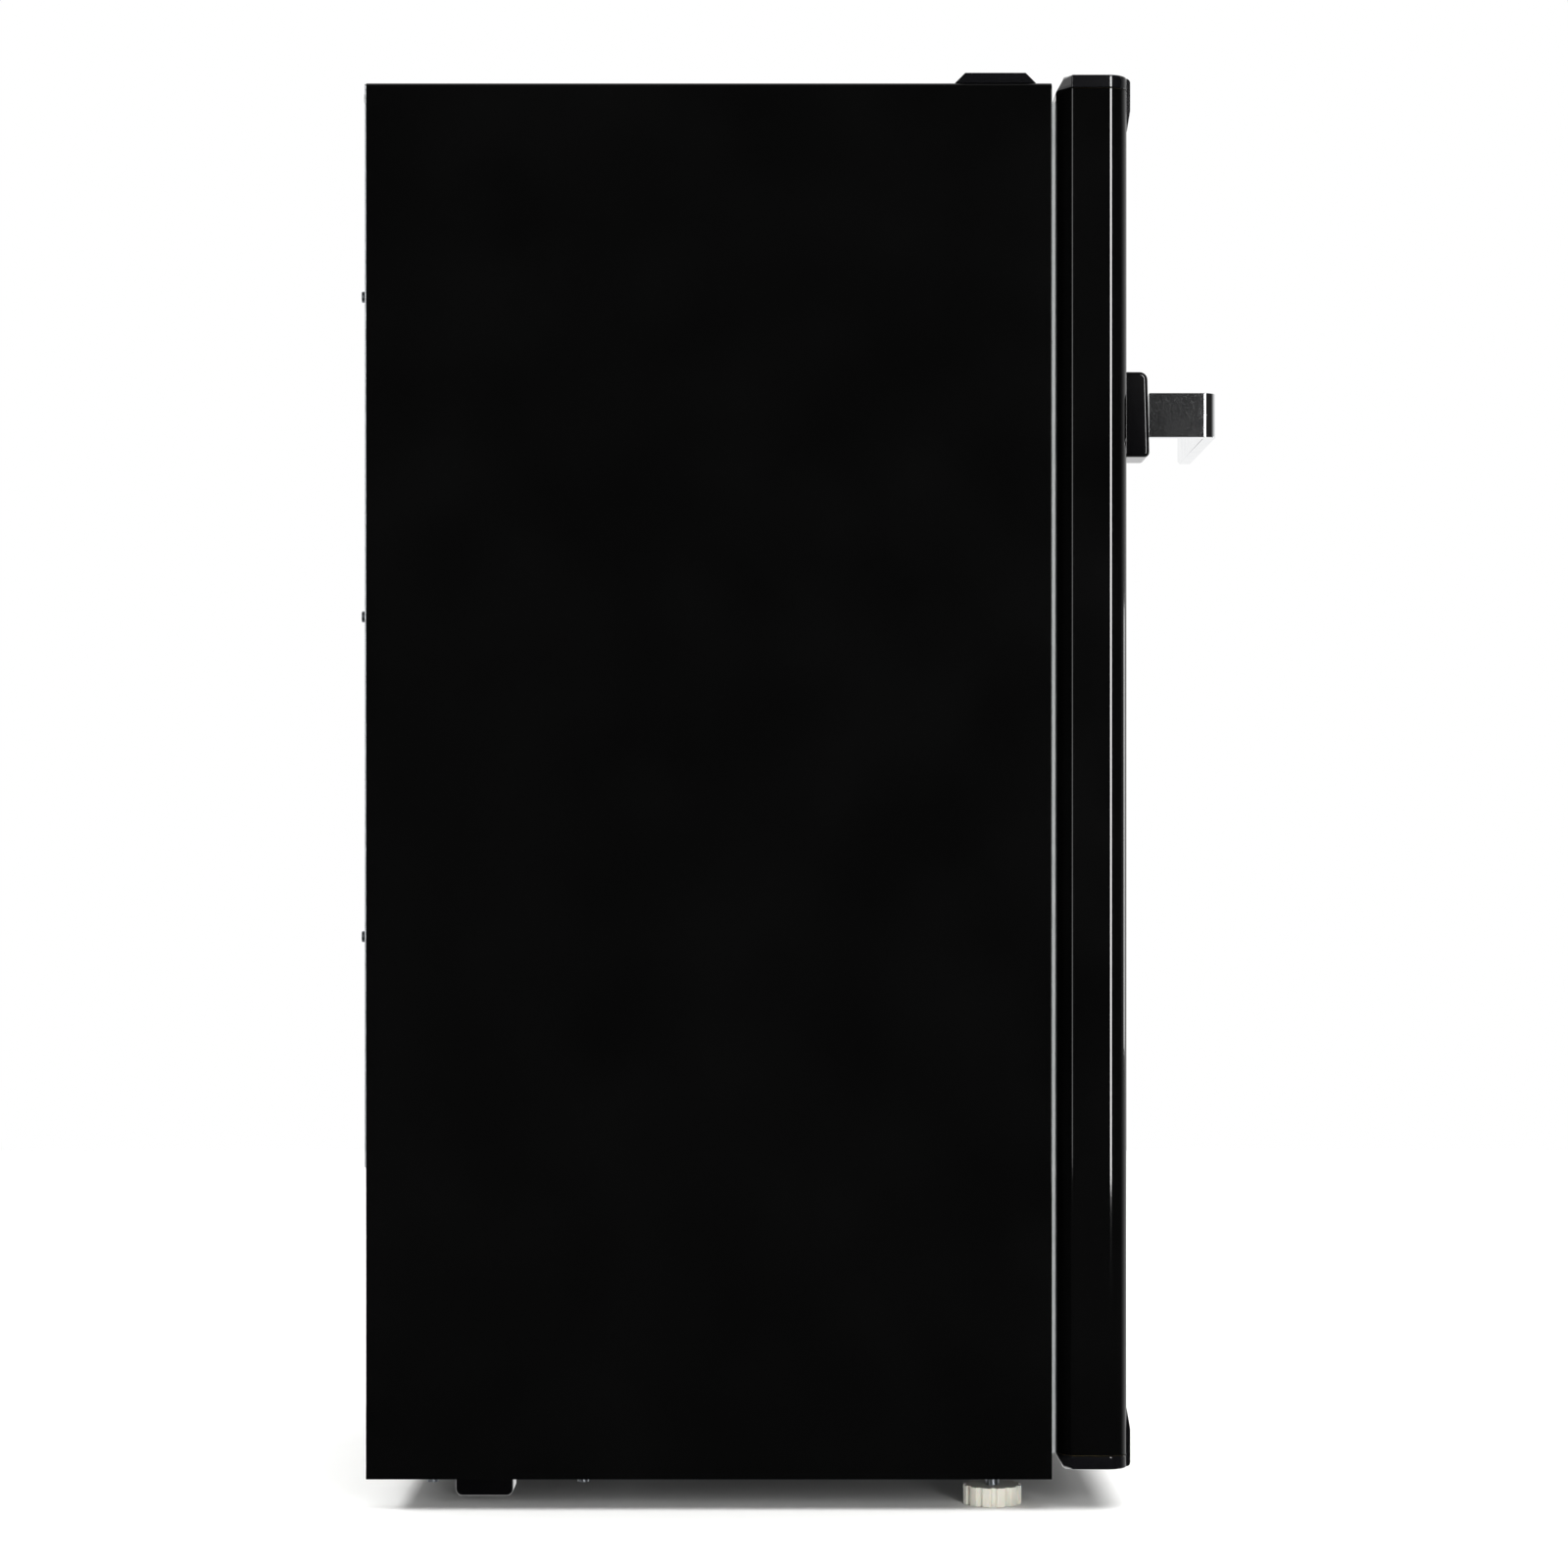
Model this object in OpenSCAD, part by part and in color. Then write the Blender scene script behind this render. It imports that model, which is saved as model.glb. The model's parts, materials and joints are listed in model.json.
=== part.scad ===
// Compact refrigerator with one right-hinged door, a fixed lever handle on the door's free edge,
// an ice box inside and the sealed cooling circuit in a bay at the bottom of the back.
// The front faces -Y, up is +Z, and the origin lies under the middle of the overall box.

/* [Cabinet] */
// Width of the cabinet and of the door
body_w = 445; // [372:1:540]
// Depth of the cabinet from its front flange to the back panel
body_d = 397; // [372:1:480]
// Height of the cabinet without its feet
body_h = 807; // [680:1:980]
// Height of the cabinet's underside above the floor
foot_gap = 18; // [16:1:24]
// Thickness of the steel sheet of the cabinet and the door
sheet_t = 0.8; // [0.6:0.1:1.5]
// Radius of the bend between the top and the sides
top_bend = 4; // [3:0.5:12]
// Width of the steel flange round the door opening
flange_w = 28; // [22:1:32]
// Height of the steel rail under the door opening
rail_h = 24; // [20:1:27]

/* [Walls] */
// Thickness of the insulated side walls
side_wall = 34; // [30:1:45]
// Thickness of the insulated top
top_wall = 36; // [32:1:50]
// Thickness of the insulated back
back_wall = 45; // [38:1:60]
// Thickness of the insulated floor
floor_wall = 30; // [28:1:40]
// Thickness of the moulded liners
liner_t = 2; // [1.5:0.5:3]

/* [Compressor bay] */
// Height of the open bay at the bottom of the back
bay_h = 190; // [180:1:230]
// Depth of the bay
bay_d = 160; // [154:1:190]
// Diameter of the compressor's shell
comp_dia = 124; // [100:1:136]
// Height of the compressor's shell
comp_h = 138; // [120:1:144]
// Diameter of the suction tube
suction_d = 8; // [6:0.5:9]
// Diameter of the discharge and condenser tubes
tube_d = 5; // [4:0.5:6]

/* [Door] */
// Thickness of the door without its end caps' bulge
door_t = 41; // [36:1:55]
// Gap between the cabinet and the door, filled by the seal
door_gap = 3; // [2.5:0.1:4]
// How far the door stands above the cabinet
door_over = 6; // [5.5:0.5:10]
// How far the door ends above the cabinet's underside
door_raise = 4; // [3.5:0.5:6]
// Radius of the door's front vertical bends
door_bend = 11; // [6:0.5:14]
// Height of the end caps at the door's sides
cap_h = 9.5; // [9:0.5:12]
// How far the top cap's apron reaches down over the door skin
apron_top = 23; // [14:1:40]
// How far the bottom cap's apron reaches up over the door skin
apron_bot = 26; // [14:1:40]
// How far the aprons stand in front of the door skin
apron_out = 2.2; // [1:0.1:4]

/* [Hinges] */
// Distance of the hinge axis from the cabinet's right side
pivot_in = 12; // [11:0.5:16]
// Distance of the hinge axis in front of the cabinet
pivot_out = 25; // [23:0.5:30]
// Diameter of the hinge pins
pin_d = 6; // [5:0.5:8]
// Thickness of the upper hinge plate
plate_t = 2.5; // [2:0.1:3]
// Thickness of the lower hinge bracket
bracket_t = 3; // [2:0.1:3.5]

/* [Handle] */
// How far the handle stands in front of the door
handle_out = 55; // [45:1:75]
// Height of the middle of the handle above the cabinet's underside
handle_up = 619; // [300:1:640]
// Distance of the handle from the door's free edge
handle_in = 30; // [24:1:60]
// Width of the handle's base
base_w = 34; // [26:1:45]
// Height of the handle's base
base_h = 50; // [40:1:60]
// Thickness of the handle's base
base_t = 15.5; // [12:0.5:18]
// Height of the lever
lever_h = 26; // [18:1:34]
// Thickness of the lever
lever_t = 7; // [5:0.5:9]
// Length of the lever along the door
lever_l = 150; // [100:1:220]

/* [Inside] */
// Distance of the shelves behind the cabinet's front
shelf_back = 100; // [95:1:120]
// Thickness of the glass shelves
glass_t = 4; // [3:0.5:5]
// Height of the ice box
ice_h = 108; // [90:1:125]
// Distance of the ice box behind the cabinet's front
ice_back = 130; // [128:1:150]
// Room kept beside the ice box for the thermostat
control_w = 62; // [52:1:80]
// Height of the drawer
drawer_h = 118; // [90:1:130]
// How far the door's racks reach into the cabinet
rack_reach = 88; // [75:1:90]
// Diameter of the thermostat dial
dial_d = 36; // [28:1:44]

/* [Feet] */
// Diameter of the front levelling feet
disc_d = 34; // [28:1:40]
// Thickness of the front levelling feet
disc_h = 11; // [8:0.5:11]
// Diameter of their studs
stud_d = 8; // [6:1:10]
// Distance of the front feet from the cabinet's sides
foot_in = 27; // [24:1:40]
// Distance of the front feet behind the cabinet's front
foot_back = 33; // [28:1:45]
// Length of the rear feet from front to back
rear_foot_l = 34; // [24:1:40]
// Width of the rear feet
rear_foot_w = 28; // [20:1:34]
// Distance of the rear feet from the cabinet's sides
rear_foot_in = 50; // [44:1:60]

/* [Hidden] */
$fn = 48;

// Clearances
fit = 0.2;          // between parts that lie beside each other
run = 0.05;         // radial, between a pin and its bore
cut = 1;            // how far a cutting shape passes the face that it cuts

// Small screws
screw_d = 4;
head_d = 6.5;
head_h = 2;

// Places in the overall box
side_x = body_w / 2;
back_y = (body_d + door_gap + door_t + handle_out - head_h) / 2;
front_y = back_y - body_d;
door_rear = front_y - door_gap;
door_front = door_rear - door_t;
under_z = foot_gap;
top_z = under_z + body_h;
door_z0 = under_z + door_raise;
door_z1 = top_z + door_over;
panel_y = back_y - sheet_t;         // inner face of the back panel
bottom_flange = 12;                 // inward return at the foot of each side panel

// Food space
in_x = side_x - side_wall;
in_z0 = under_z + floor_wall;
in_z1 = top_z - top_wall;
in_back = back_y - back_wall;
hump_wall = 30;                     // insulation between the bay and the food space
bay_y = back_y - bay_d;
bay_z = under_z + bay_h;
hump_y = bay_y - hump_wall;
hump_z = bay_z + hump_wall;

// Cooling circuit
plate_z = under_z + sheet_t;        // underside of the compressor's plate
plate_sheet = 1.5;
grommet_h = 10;
comp_x = 62;
comp_y = back_y - bay_d / 2;
comp_z = plate_z + plate_sheet + grommet_h + 2;
comp_round = 36;
comp_foot_t = 2;
comp_foot = [70, 46];               // half spacing of the compressor's four mounts
comp_mounts = [for (sx = [-1, 1], sy = [-1, 1]) [comp_x + sx * comp_foot[0], comp_y + sy * comp_foot[1]]];
mount_hole_d = 6.4;                 // holes that the compressor bolts pass through
plate_back = back_y - 14;
plate_front = bay_y + 12;
gland_x = -side_x + 88;
gland_z = plate_z + 20;
gland_d = 12;
drain_x = comp_x;
drain_y = back_y - 30;
drain_d = 14;

// Hinges
pivot_x = side_x - pivot_in;
pivot_y = front_y - pivot_out;
nose_r = 9;
notch_r = nose_r + 1;
notch_front = pivot_y - 15;
notch_z = top_z - 1;
bush_d = 12;
bush_l = 17;
boss_d = 20;
pin_l = 15;

cover_l = 47;
cover_w = 34;
cover_in = 3;
cover_front = 9;
cover_taper = 6;
cover_wall = 1.2;
hinge_rear = cover_front + cover_l - cover_taper - 3;     // how far the hinge plate reaches back
upper_screws = [[pivot_x, front_y + cover_front + cover_taper + 8], [pivot_x, front_y + hinge_rear - 6],
                [pivot_x - 16, front_y + hinge_rear - 6]];
lower_screws = [[side_x - 8, front_y + 12], [side_x - 8, front_y + 56], [side_x - 44, front_y + 56]];

// Door
bevel_in = 12;                      // how far the rear bevel comes in from the door's side
bevel_d = 8.6;                      // its depth from front to back
seal_top = top_z - 8.7;
seal_bot = under_z + 12.6;
seal_x = side_x - bevel_in - 0.5;
seal_w = 16;
seal_t = door_gap - fit;
dart_w = 3;
dart_l = 5;
groove_t = 1.2;                     // wall of the liner round the dart
cap_z0 = door_z0 + cap_h;
cap_z1 = door_z1 - cap_h;
plateau = 12;                       // how far the door liner stands into the cabinet
pillar_out = 45;                    // and its two pillars
pillar_w = 30;
pillar_x = in_x - 12.5;             // outer face of a pillar
dyke_z0 = in_z0 + 12;
dyke_z1 = in_z1 - 14;
rack_x = pillar_x - pillar_w;
rack_gap = 0.4;

// Inside
wall_gap = 1.5;                     // between a shelf and the side walls
ledge_w = 7;
ledge_h = 6;
shelf_y = front_y + shelf_back;
shelf_rear = in_back - 4;
trim_d = 16;
trim_lip = 2;
ice_x0 = -in_x + 6;
ice_x1 = in_x - control_w;
ice_y0 = front_y + ice_back;
ice_y1 = in_back - 8;
ice_z1 = in_z1 - 5;
ice_z0 = ice_z1 - ice_h;
ice_t = 1.6;
frame_d = 9;
flap_gap = 1.5;
flap_t = 3;
flap_pin_d = 5;
flap_axis_y = ice_y0 - frame_d - 4.5;
flap_axis_z = ice_z1 - 6;
hanger_d = 5;                       // studs that hang the ice box
dial_shaft_d = 7;
tray_h = 24;
tray_wall = 2;
tray_z1 = ice_z0 - 4;
tray_z0 = tray_z1 - tray_h;
cover_z = hump_z + drawer_h + 12;   // underside of the glass over the drawer
shelf_z = (cover_z + tray_z0) / 2;
drawer_y = shelf_y + 4;
drawer_x = in_x - ledge_w - 6;
drawer_wall = 2;
bottle_z = in_z0 + 26;
bottle_h = 96;
can_z = cover_z + 30;
can_h = 70;
upper_z = shelf_z + glass_t + 35;
rack_wall = 2;

// Extrusions that name the two faces they run between
module along_x(x0, x1) { translate([x0, 0, 0]) rotate([90, 0, 90]) linear_extrude(x1 - x0) children(); }
module along_y(y0, y1) { translate([0, y1, 0]) rotate([90, 0, 0]) linear_extrude(y1 - y0) children(); }
module along_z(z0, z1) { translate([0, 0, z0]) linear_extrude(z1 - z0) children(); }
module block(a, b) { translate(a) cube(b - a); }
module both_sides() { children(); mirror([1, 0, 0]) children(); }

// Upright pins or holes of one size, standing at a height on each place of a list
module rods(places, z, d, h) { for (p = places) translate([p[0], p[1], z]) cylinder(d = d, h = h); }

// Rectangle between two corners, and the same with round corners
module rect(a, b) { translate(a) square(b - a); }
module round_rect(a, b, r) {
    rect([a[0] + r, a[1]], [b[0] - r, b[1]]);
    rect([a[0], a[1] + r], [b[0], b[1] - r]);
    for (x = [a[0] + r, b[0] - r], y = [a[1] + r, b[1] - r]) translate([x, y]) circle(r);
}
// Frame of a given width inside a rectangle
module rect_ring(a, b, w) { difference() { rect(a, b); rect(a + [w, w], b - [w, w]); } }

// Round tube through a list of points, with the same bend radius at every inner point
function unit(v) = v / norm(v);
function lean(p, i) = acos(max(-1, min(1, unit(p[i] - p[i - 1]) * unit(p[i + 1] - p[i]))));
function trim_at(p, i, bend) = i == 0 || i == len(p) - 1 ? 0 : bend * tan(lean(p, i) / 2);
module tube(p, d, bend) {
    for (i = [0 : len(p) - 2]) {
        dir = unit(p[i + 1] - p[i]);
        start = p[i] + dir * trim_at(p, i, bend);
        length = norm(p[i + 1] - p[i]) - trim_at(p, i, bend) - trim_at(p, i + 1, bend);
        translate(start) rotate([0, acos(dir[2]), atan2(dir[1], dir[0])])
            cylinder(d = d, h = length, $fn = 24);
    }
    for (i = [1 : len(p) - 2]) {
        into = unit(p[i] - p[i - 1]);
        out = unit(p[i + 1] - p[i]);
        inward = unit(out - (into * out) * into);
        middle = p[i] - into * trim_at(p, i, bend) + inward * bend;
        normal = cross(-inward, into);
        multmatrix([[-inward[0], into[0], normal[0], middle[0]],
                    [-inward[1], into[1], normal[1], middle[1]],
                    [-inward[2], into[2], normal[2], middle[2]]])
            rotate_extrude(angle = lean(p, i), $fn = 48) translate([bend, 0]) circle(d = d, $fn = 24);
    }
}

// ---- Cabinet ----

module shell_profile(inset) {
    r = top_bend - inset;
    rect([-side_x + inset, under_z + inset], [side_x - inset, top_z - top_bend]);
    rect([-side_x + top_bend, under_z + inset], [side_x - top_bend, top_z - inset]);
    for (s = [-1, 1]) translate([s * (side_x - top_bend), top_z - top_bend]) circle(r);
}
module cabinet_shell() {
    color("#141516") difference() {
        along_y(front_y, panel_y) shell_profile(0);
        along_y(front_y + sheet_t, panel_y - sheet_t) shell_profile(sheet_t);
        block([-side_x + flange_w, front_y - cut, under_z - cut],
              [side_x - flange_w, front_y + sheet_t + cut, top_z - flange_w]);
        block([-side_x + bottom_flange, panel_y - sheet_t - cut, under_z - cut],
              [side_x - bottom_flange, panel_y + cut, top_z - bottom_flange]);
        block([-side_x + bottom_flange, front_y + sheet_t, under_z - cut],
              [side_x - bottom_flange, panel_y - sheet_t, under_z + sheet_t + cut]);
        both_sides() rods(upper_screws, top_z - sheet_t - cut, screw_d + fit, sheet_t + 2 * cut);
        rods(lower_screws, under_z - cut, screw_d + fit, sheet_t + 2 * cut);
        both_sides() rods(base_screws, under_z - cut, screw_d + fit, sheet_t + 2 * cut);
        for (p = panel_screws) translate([p[0], panel_y + cut, p[1]]) rotate([90, 0, 0])
            cylinder(d = screw_d + fit, h = sheet_t + 2 * cut);
    }
}

module base_pan() {
    inner = side_x - sheet_t - fit;
    color("#222426") difference() {
        union() {
            block([-inner, front_y + sheet_t + fit, under_z + sheet_t],
                [inner, bay_y, under_z + 2 * sheet_t]);
            block([-side_x + flange_w + fit, front_y, under_z],
                  [side_x - flange_w - fit, front_y + sheet_t, under_z + rail_h]);
            block([-side_x + flange_w + fit, front_y, under_z],
                  [side_x - flange_w - fit, front_y + sheet_t + 8, under_z + 2 * sheet_t]);
        }
        both_sides() translate([side_x - foot_in, front_y + foot_back, under_z - cut])
            cylinder(d = stud_d + 1, h = 4 * sheet_t + cut);
        rods(lower_screws, under_z - cut, screw_d + fit, 4 * sheet_t + cut);
    }
}

panel_screws = concat(
    [for (x = [-0.94, -0.33, 0.33, 0.94]) [x * (side_x - bottom_flange / 2), top_z - bottom_flange / 2]],
    [for (s = [-1, 1], z = [0.2, 0.5, 0.8]) [s * (side_x - bottom_flange / 2), bay_z + z * (top_z - bay_z)]]);
module back_panel() {
    color("#2b2d2f") difference() {
        block([-side_x + fit, panel_y, bay_z - 10], [side_x - fit, back_y, top_z - 1]);
        for (p = panel_screws) translate([p[0], back_y + cut, p[1]]) rotate([90, 0, 0])
            cylinder(d = screw_d + fit, h = sheet_t + 2 * cut);
    }
}

deck_t = 1;
module compartment_deck() {
    inner = side_x - sheet_t - fit;
    color("#8d9092") difference() {
        union() {
            block([-inner, bay_y, under_z + sheet_t], [inner, bay_y + deck_t, bay_z]);
            block([-inner, bay_y, bay_z - deck_t], [inner, panel_y - sheet_t - fit, bay_z]);
        }
        translate([drain_x, drain_y, bay_z - 2 * deck_t]) cylinder(d = drain_d, h = 3 * deck_t);
        for (p = [suction_pass, capillary_pass]) translate([p[0], p[1], bay_z - 2 * deck_t])
            cylinder(d = p[2], h = 3 * deck_t);
    }
}

// Space that the insulation fills between the shell and the liner, before its pockets are cut
module liner_side_profile(grow) {
    polygon([[front_y - cut, in_z0 - grow], [hump_y + grow, in_z0 - grow], [hump_y + grow, hump_z - grow],
             [in_back + grow, hump_z - grow], [in_back + grow, in_z1 + grow], [front_y - cut, in_z1 + grow]]);
}
liner_face = front_y + sheet_t;
pocket_d = screw_d + 2;             // clear holes in the foam for the points of screws
pocket_l = 9;
stud_pocket_l = 24;
wire_d = 8;                         // way for the thermostat's wires
wire_room_l = 12;
module foam_insulation() {
    color("#d9c27a") difference() {
        along_y(liner_face + liner_t, panel_y - sheet_t) intersection() {
            shell_profile(sheet_t);
            rect([-side_x, under_z + 2 * sheet_t], [side_x, top_z]);
        }
        along_x(-in_x - liner_t, in_x + liner_t) liner_side_profile(liner_t);
        block([-side_x, bay_y - fit, 0], [side_x, back_y, bay_z]);
        condenser_channel();
        both_sides() rods(upper_screws, top_z - pocket_l, pocket_d, pocket_l);
        rods(lower_screws, under_z, pocket_d, pocket_l);
        both_sides() translate([side_x - foot_in, front_y + foot_back, under_z])
            cylinder(d = stud_d + 10, h = stud_pocket_l);
        for (p = panel_screws) translate([p[0], panel_y, p[1]]) rotate([90, 0, 0])
            cylinder(d = pocket_d, h = pocket_l + 1);
        translate([drain_x, drain_y, bay_z - cut]) cylinder(d = drain_d, h = hump_wall + cut);
        for (p = [suction_pass, capillary_pass]) translate([p[0], p[1], bay_z - cut])
            cylinder(d = p[2], h = hump_wall);
        translate([dial_hub[0], in_back + liner_t - cut, dial_hub[1]]) rotate([-90, 0, 0])
            cylinder(d = wire_d, h = wire_room_l);
    }
}

ledge_levels = [shelf_z, cover_z];
module inner_liner() {
    color("#eef0f0") difference() {
        union() {
            along_x(-in_x - liner_t, in_x + liner_t) intersection() {
                liner_side_profile(liner_t);
                rect([liner_face, 0], [back_y, top_z]);
            }
            along_y(liner_face, liner_face + liner_t)
                rect([-side_x + flange_w - 5, under_z + 2 * sheet_t + 8],
                    [side_x - flange_w + 5, top_z - flange_w + 5]);
        }
        difference() {
            along_x(-in_x, in_x) liner_side_profile(0);
            both_sides() for (z = ledge_levels)
                block([in_x - ledge_w, shelf_y + trim_d + 1, z - ledge_h], [in_x + cut, in_back + cut, z]);
        }
        translate([drain_x, drain_y, hump_z - liner_t - cut]) cylinder(d = drain_d, h = liner_t + 2 * cut);
    }
}

// Condenser tube behind the side panels: up, down, up and down again on each side
pipe_off = tube_d / 2;
pipe_x = side_x - sheet_t - pipe_off;
pipe_step = 52;
pipe_lo = bay_z + 40;
pipe_hi = top_z - 60;
pipe_y = [for (i = [0 : 3]) back_y - 60 - i * pipe_step];
pipe_bend = 12;
function zigzag(i) = i % 2 == 0 ? [[pipe_x, pipe_y[i], pipe_lo], [pipe_x, pipe_y[i], pipe_hi]]
                                : [[pipe_x, pipe_y[i], pipe_hi], [pipe_x, pipe_y[i], pipe_lo]];
pipe_route = [for (i = [0 : 3], p = zigzag(i)) p];
module condenser_pipe() {
    color("#b5673a") both_sides() tube(pipe_route, tube_d, pipe_bend);
}
module condenser_channel() {
    room = tube_d / 2 + 0.5;
    both_sides() {
        for (y = pipe_y) block([pipe_x - room, y - room, pipe_lo - room], [side_x, y + room, pipe_hi + room]);
        for (i = [0 : 2]) {
            z = i % 2 == 0 ? pipe_hi : pipe_lo;
            block([pipe_x - room, pipe_y[i + 1] - room, z - room - (i % 2 == 0 ? pipe_bend : 0)],
                  [side_x, pipe_y[i] + room, z + room + (i % 2 == 0 ? 0 : pipe_bend)]);
        }
    }
}

// ---- Cooling circuit in the bay ----

base_screws = [[side_x - 6, back_y - 39], [side_x - 6, bay_y + 34]];
module compressor_plate() {
    half = side_x - sheet_t - fit;
    z1 = plate_z + plate_sheet;
    color("#1c1d1f") difference() {
        union() {
            block([-half, plate_front, plate_z], [half, plate_back, z1]);
            block([-half, plate_front, plate_z], [half, plate_front + plate_sheet, plate_z + 9]);
            block([gland_x - 15, plate_back - plate_sheet, plate_z],
                [gland_x + 15, plate_back, gland_z + 14]);
        }
        rods(comp_mounts, plate_z - cut, mount_hole_d, plate_sheet + 2 * cut);
        both_sides() rods(base_screws, plate_z - cut, screw_d + fit, plate_sheet + 2 * cut);
        translate([gland_x, plate_back + cut, gland_z]) rotate([90, 0, 0])
            cylinder(d = gland_d, h = plate_sheet + 2 * cut);
    }
}

rear_foot_y = back_y - 65;
module rear_feet() {
    h = plate_z;
    color("#17181a") both_sides() along_x(side_x - rear_foot_in - rear_foot_w, side_x - rear_foot_in) {
        round_rect([rear_foot_y - rear_foot_l / 2, 0], [rear_foot_y + rear_foot_l / 2, h - 1], 4);
        rect([rear_foot_y - rear_foot_l / 2, h / 2], [rear_foot_y + rear_foot_l / 2, h]);
    }
}

// Small screw with a pan head, pointing along +Z from under its head
module pan_screw(length) {
    translate([0, 0, -head_h]) cylinder(d = head_d, h = head_h);
    cylinder(d = screw_d, h = length);
}
module cabinet_screws() {
    color("#9a9c9e") {
        both_sides() for (p = base_screws) translate([p[0], p[1], under_z]) pan_screw(6);
        for (p = panel_screws) translate([p[0], back_y, p[1]]) rotate([90, 0, 0]) pan_screw(8);
    }
}

comp_r = comp_dia / 2;
module compressor() {
    color("#101113") {
        translate([comp_x, comp_y, comp_z]) {
            rotate_extrude($fn = 96) intersection() {
                round_rect([-comp_r, 0], [comp_r, comp_h], comp_round);
                rect([0, 0], [comp_r, comp_h]);
            }
            translate([0, 0, comp_h * 0.55]) cylinder(r = comp_r + 4, h = 4, $fn = 96);
        }
        difference() {
            block([comp_x - comp_foot[0] - 14, comp_y - comp_foot[1] - 13, comp_z - comp_foot_t],
                  [comp_x + comp_foot[0] + 14, comp_y + comp_foot[1] + 13, comp_z]);
            rods(comp_mounts, comp_z - 2 * comp_foot_t, 12.4, 3 * comp_foot_t);
        }
    }
}

module compressor_grommets() {
    z0 = plate_z + plate_sheet;
    color("#26272a") for (m = comp_mounts) translate([m[0], m[1], z0]) difference() {
        union() {
            cylinder(d = 22, h = grommet_h);
            cylinder(d = 12, h = grommet_h + comp_foot_t + 0.4);
            translate([0, 0, grommet_h + comp_foot_t + 0.4]) cylinder(d = 18, h = 3);
        }
        translate([0, 0, -cut]) cylinder(d = mount_hole_d, h = grommet_h + 10);
    }
}
module compressor_bolts() {
    head_z = plate_z + plate_sheet + grommet_h + comp_foot_t + 3.4;
    color("#c9ccce") for (m = comp_mounts) translate([m[0], m[1], 0]) {
        translate([0, 0, head_z]) cylinder(d = 16, h = 1.4);
        translate([0, 0, head_z + 1.4]) cylinder(d = 11.5, h = 4, $fn = 6);
        translate([0, 0, plate_z]) cylinder(d = 6, h = head_z - plate_z);
    }
}

module compressor_hull(grow) {
    translate([comp_x, comp_y, comp_z - cut]) cylinder(r = comp_r + grow, h = comp_h + 2 * cut, $fn = 96);
}
relay_z = comp_z + 16;
module relay_cover() {
    x1 = comp_x - comp_r + 10;
    color("#202124") difference() {
        block([comp_x - comp_r - 42, comp_y - 26, relay_z], [x1, comp_y + 26, relay_z + 52]);
        block([comp_x - comp_r - 40, comp_y - 24, relay_z - cut], [x1 + cut, comp_y + 24, relay_z + 50]);
        compressor_hull(0);
    }
}

suction_pass = [comp_x + 8, bay_y + 13, suction_d];
capillary_pass = [comp_x + 24, bay_y + 13, 2.4];
module suction_tube() {
    z = comp_z + comp_h * 0.72;
    color("#b5673a") difference() {
        tube([[suction_pass[0], comp_y - comp_r + 12, z], [suction_pass[0], suction_pass[1], z],
              [suction_pass[0], suction_pass[1], hump_z - liner_t - 4]], suction_d, 9);
        intersection() { compressor_hull(0); block([0, 0, 0], [300, 900, z + 30]); }
    }
}

drier_x = -side_x + 60;
drier_y = bay_y + 26;
drier_d = 19;
drier_z = bay_z - 110;
drier_l = 84;
module drier_shape() {
    translate([drier_x, drier_y, drier_z]) {
        cylinder(d = drier_d, h = drier_l);
        translate([0, 0, -12]) cylinder(d1 = tube_d + 1, d2 = drier_d, h = 12);
        translate([0, 0, drier_l]) cylinder(d1 = drier_d, d2 = 5, h = 12);
    }
}
module filter_drier() { color("#b5673a") drier_shape(); }
module capillary_tube() {
    z = drier_z + drier_l + 12;
    x = drier_x;
    color("#c07a48") tube([[x, drier_y, z], [x, drier_y, bay_z - 4],
        [capillary_pass[0], drier_y, bay_z - 4], [capillary_pass[0], capillary_pass[1], bay_z - 4],
        [capillary_pass[0], capillary_pass[1], hump_z - liner_t - 6]], 2.4, 5);
}
module discharge_tube() {
    z = comp_z + comp_h * 0.4;
    y = comp_y - 30;
    low = drier_z - 12;
    color("#b5673a") {
        difference() {
            tube([[comp_x + 30, y, z], [side_x - 22, y, z], [side_x - 22, y + 60, z], [side_x - 8, y + 60, z],
                  [side_x - 8, y + 60, bay_z - deck_t]], tube_d, 6);
            compressor_hull(0);
        }
        tube([[drier_x, drier_y, low], [drier_x, drier_y, low - 18], [-side_x + 10, drier_y, low - 18],
              [-side_x + 10, drier_y, bay_z - deck_t]], tube_d, 6);
    }
}

tray_t = 1.6;
evap_z = comp_z + comp_h;
evap_h = 16;
module evaporation_tray() {
    a = [comp_x - 66, back_y - 150 + 38, evap_z];
    b = [comp_x + 66, back_y - 12, evap_z + evap_h];
    color("#d7dadb") difference() {
        along_z(a[2], b[2]) round_rect([a[0], a[1]], [b[0], b[1]], 12);
        along_z(a[2] + tray_t, b[2] + cut)
            round_rect([a[0] + tray_t, a[1] + tray_t], [b[0] - tray_t, b[1] - tray_t], 12 - tray_t);
    }
}
module drain_tube() {
    z0 = evap_z + evap_h - 4;
    color("#cfd2d3") translate([drain_x, drain_y, z0]) difference() {
        cylinder(d = drain_d - 2 * run, h = hump_z - z0);
        translate([0, 0, -cut]) cylinder(d = drain_d - 3, h = hump_z - z0 + 2 * cut);
    }
}
module cord_gland() {
    color("#101113") translate([gland_x, plate_back, gland_z]) rotate([90, 0, 0]) difference() {
        union() {
            translate([0, 0, -8]) cylinder(d1 = 13, d2 = 18, h = 8);
            cylinder(d = gland_d, h = plate_sheet);
            translate([0, 0, plate_sheet]) cylinder(d = 18, h = 3);
        }
        translate([0, 0, -10]) cylinder(d = 7.4, h = 20);
    }
}

// ---- Ice box, thermostat and shelves ----

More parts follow.
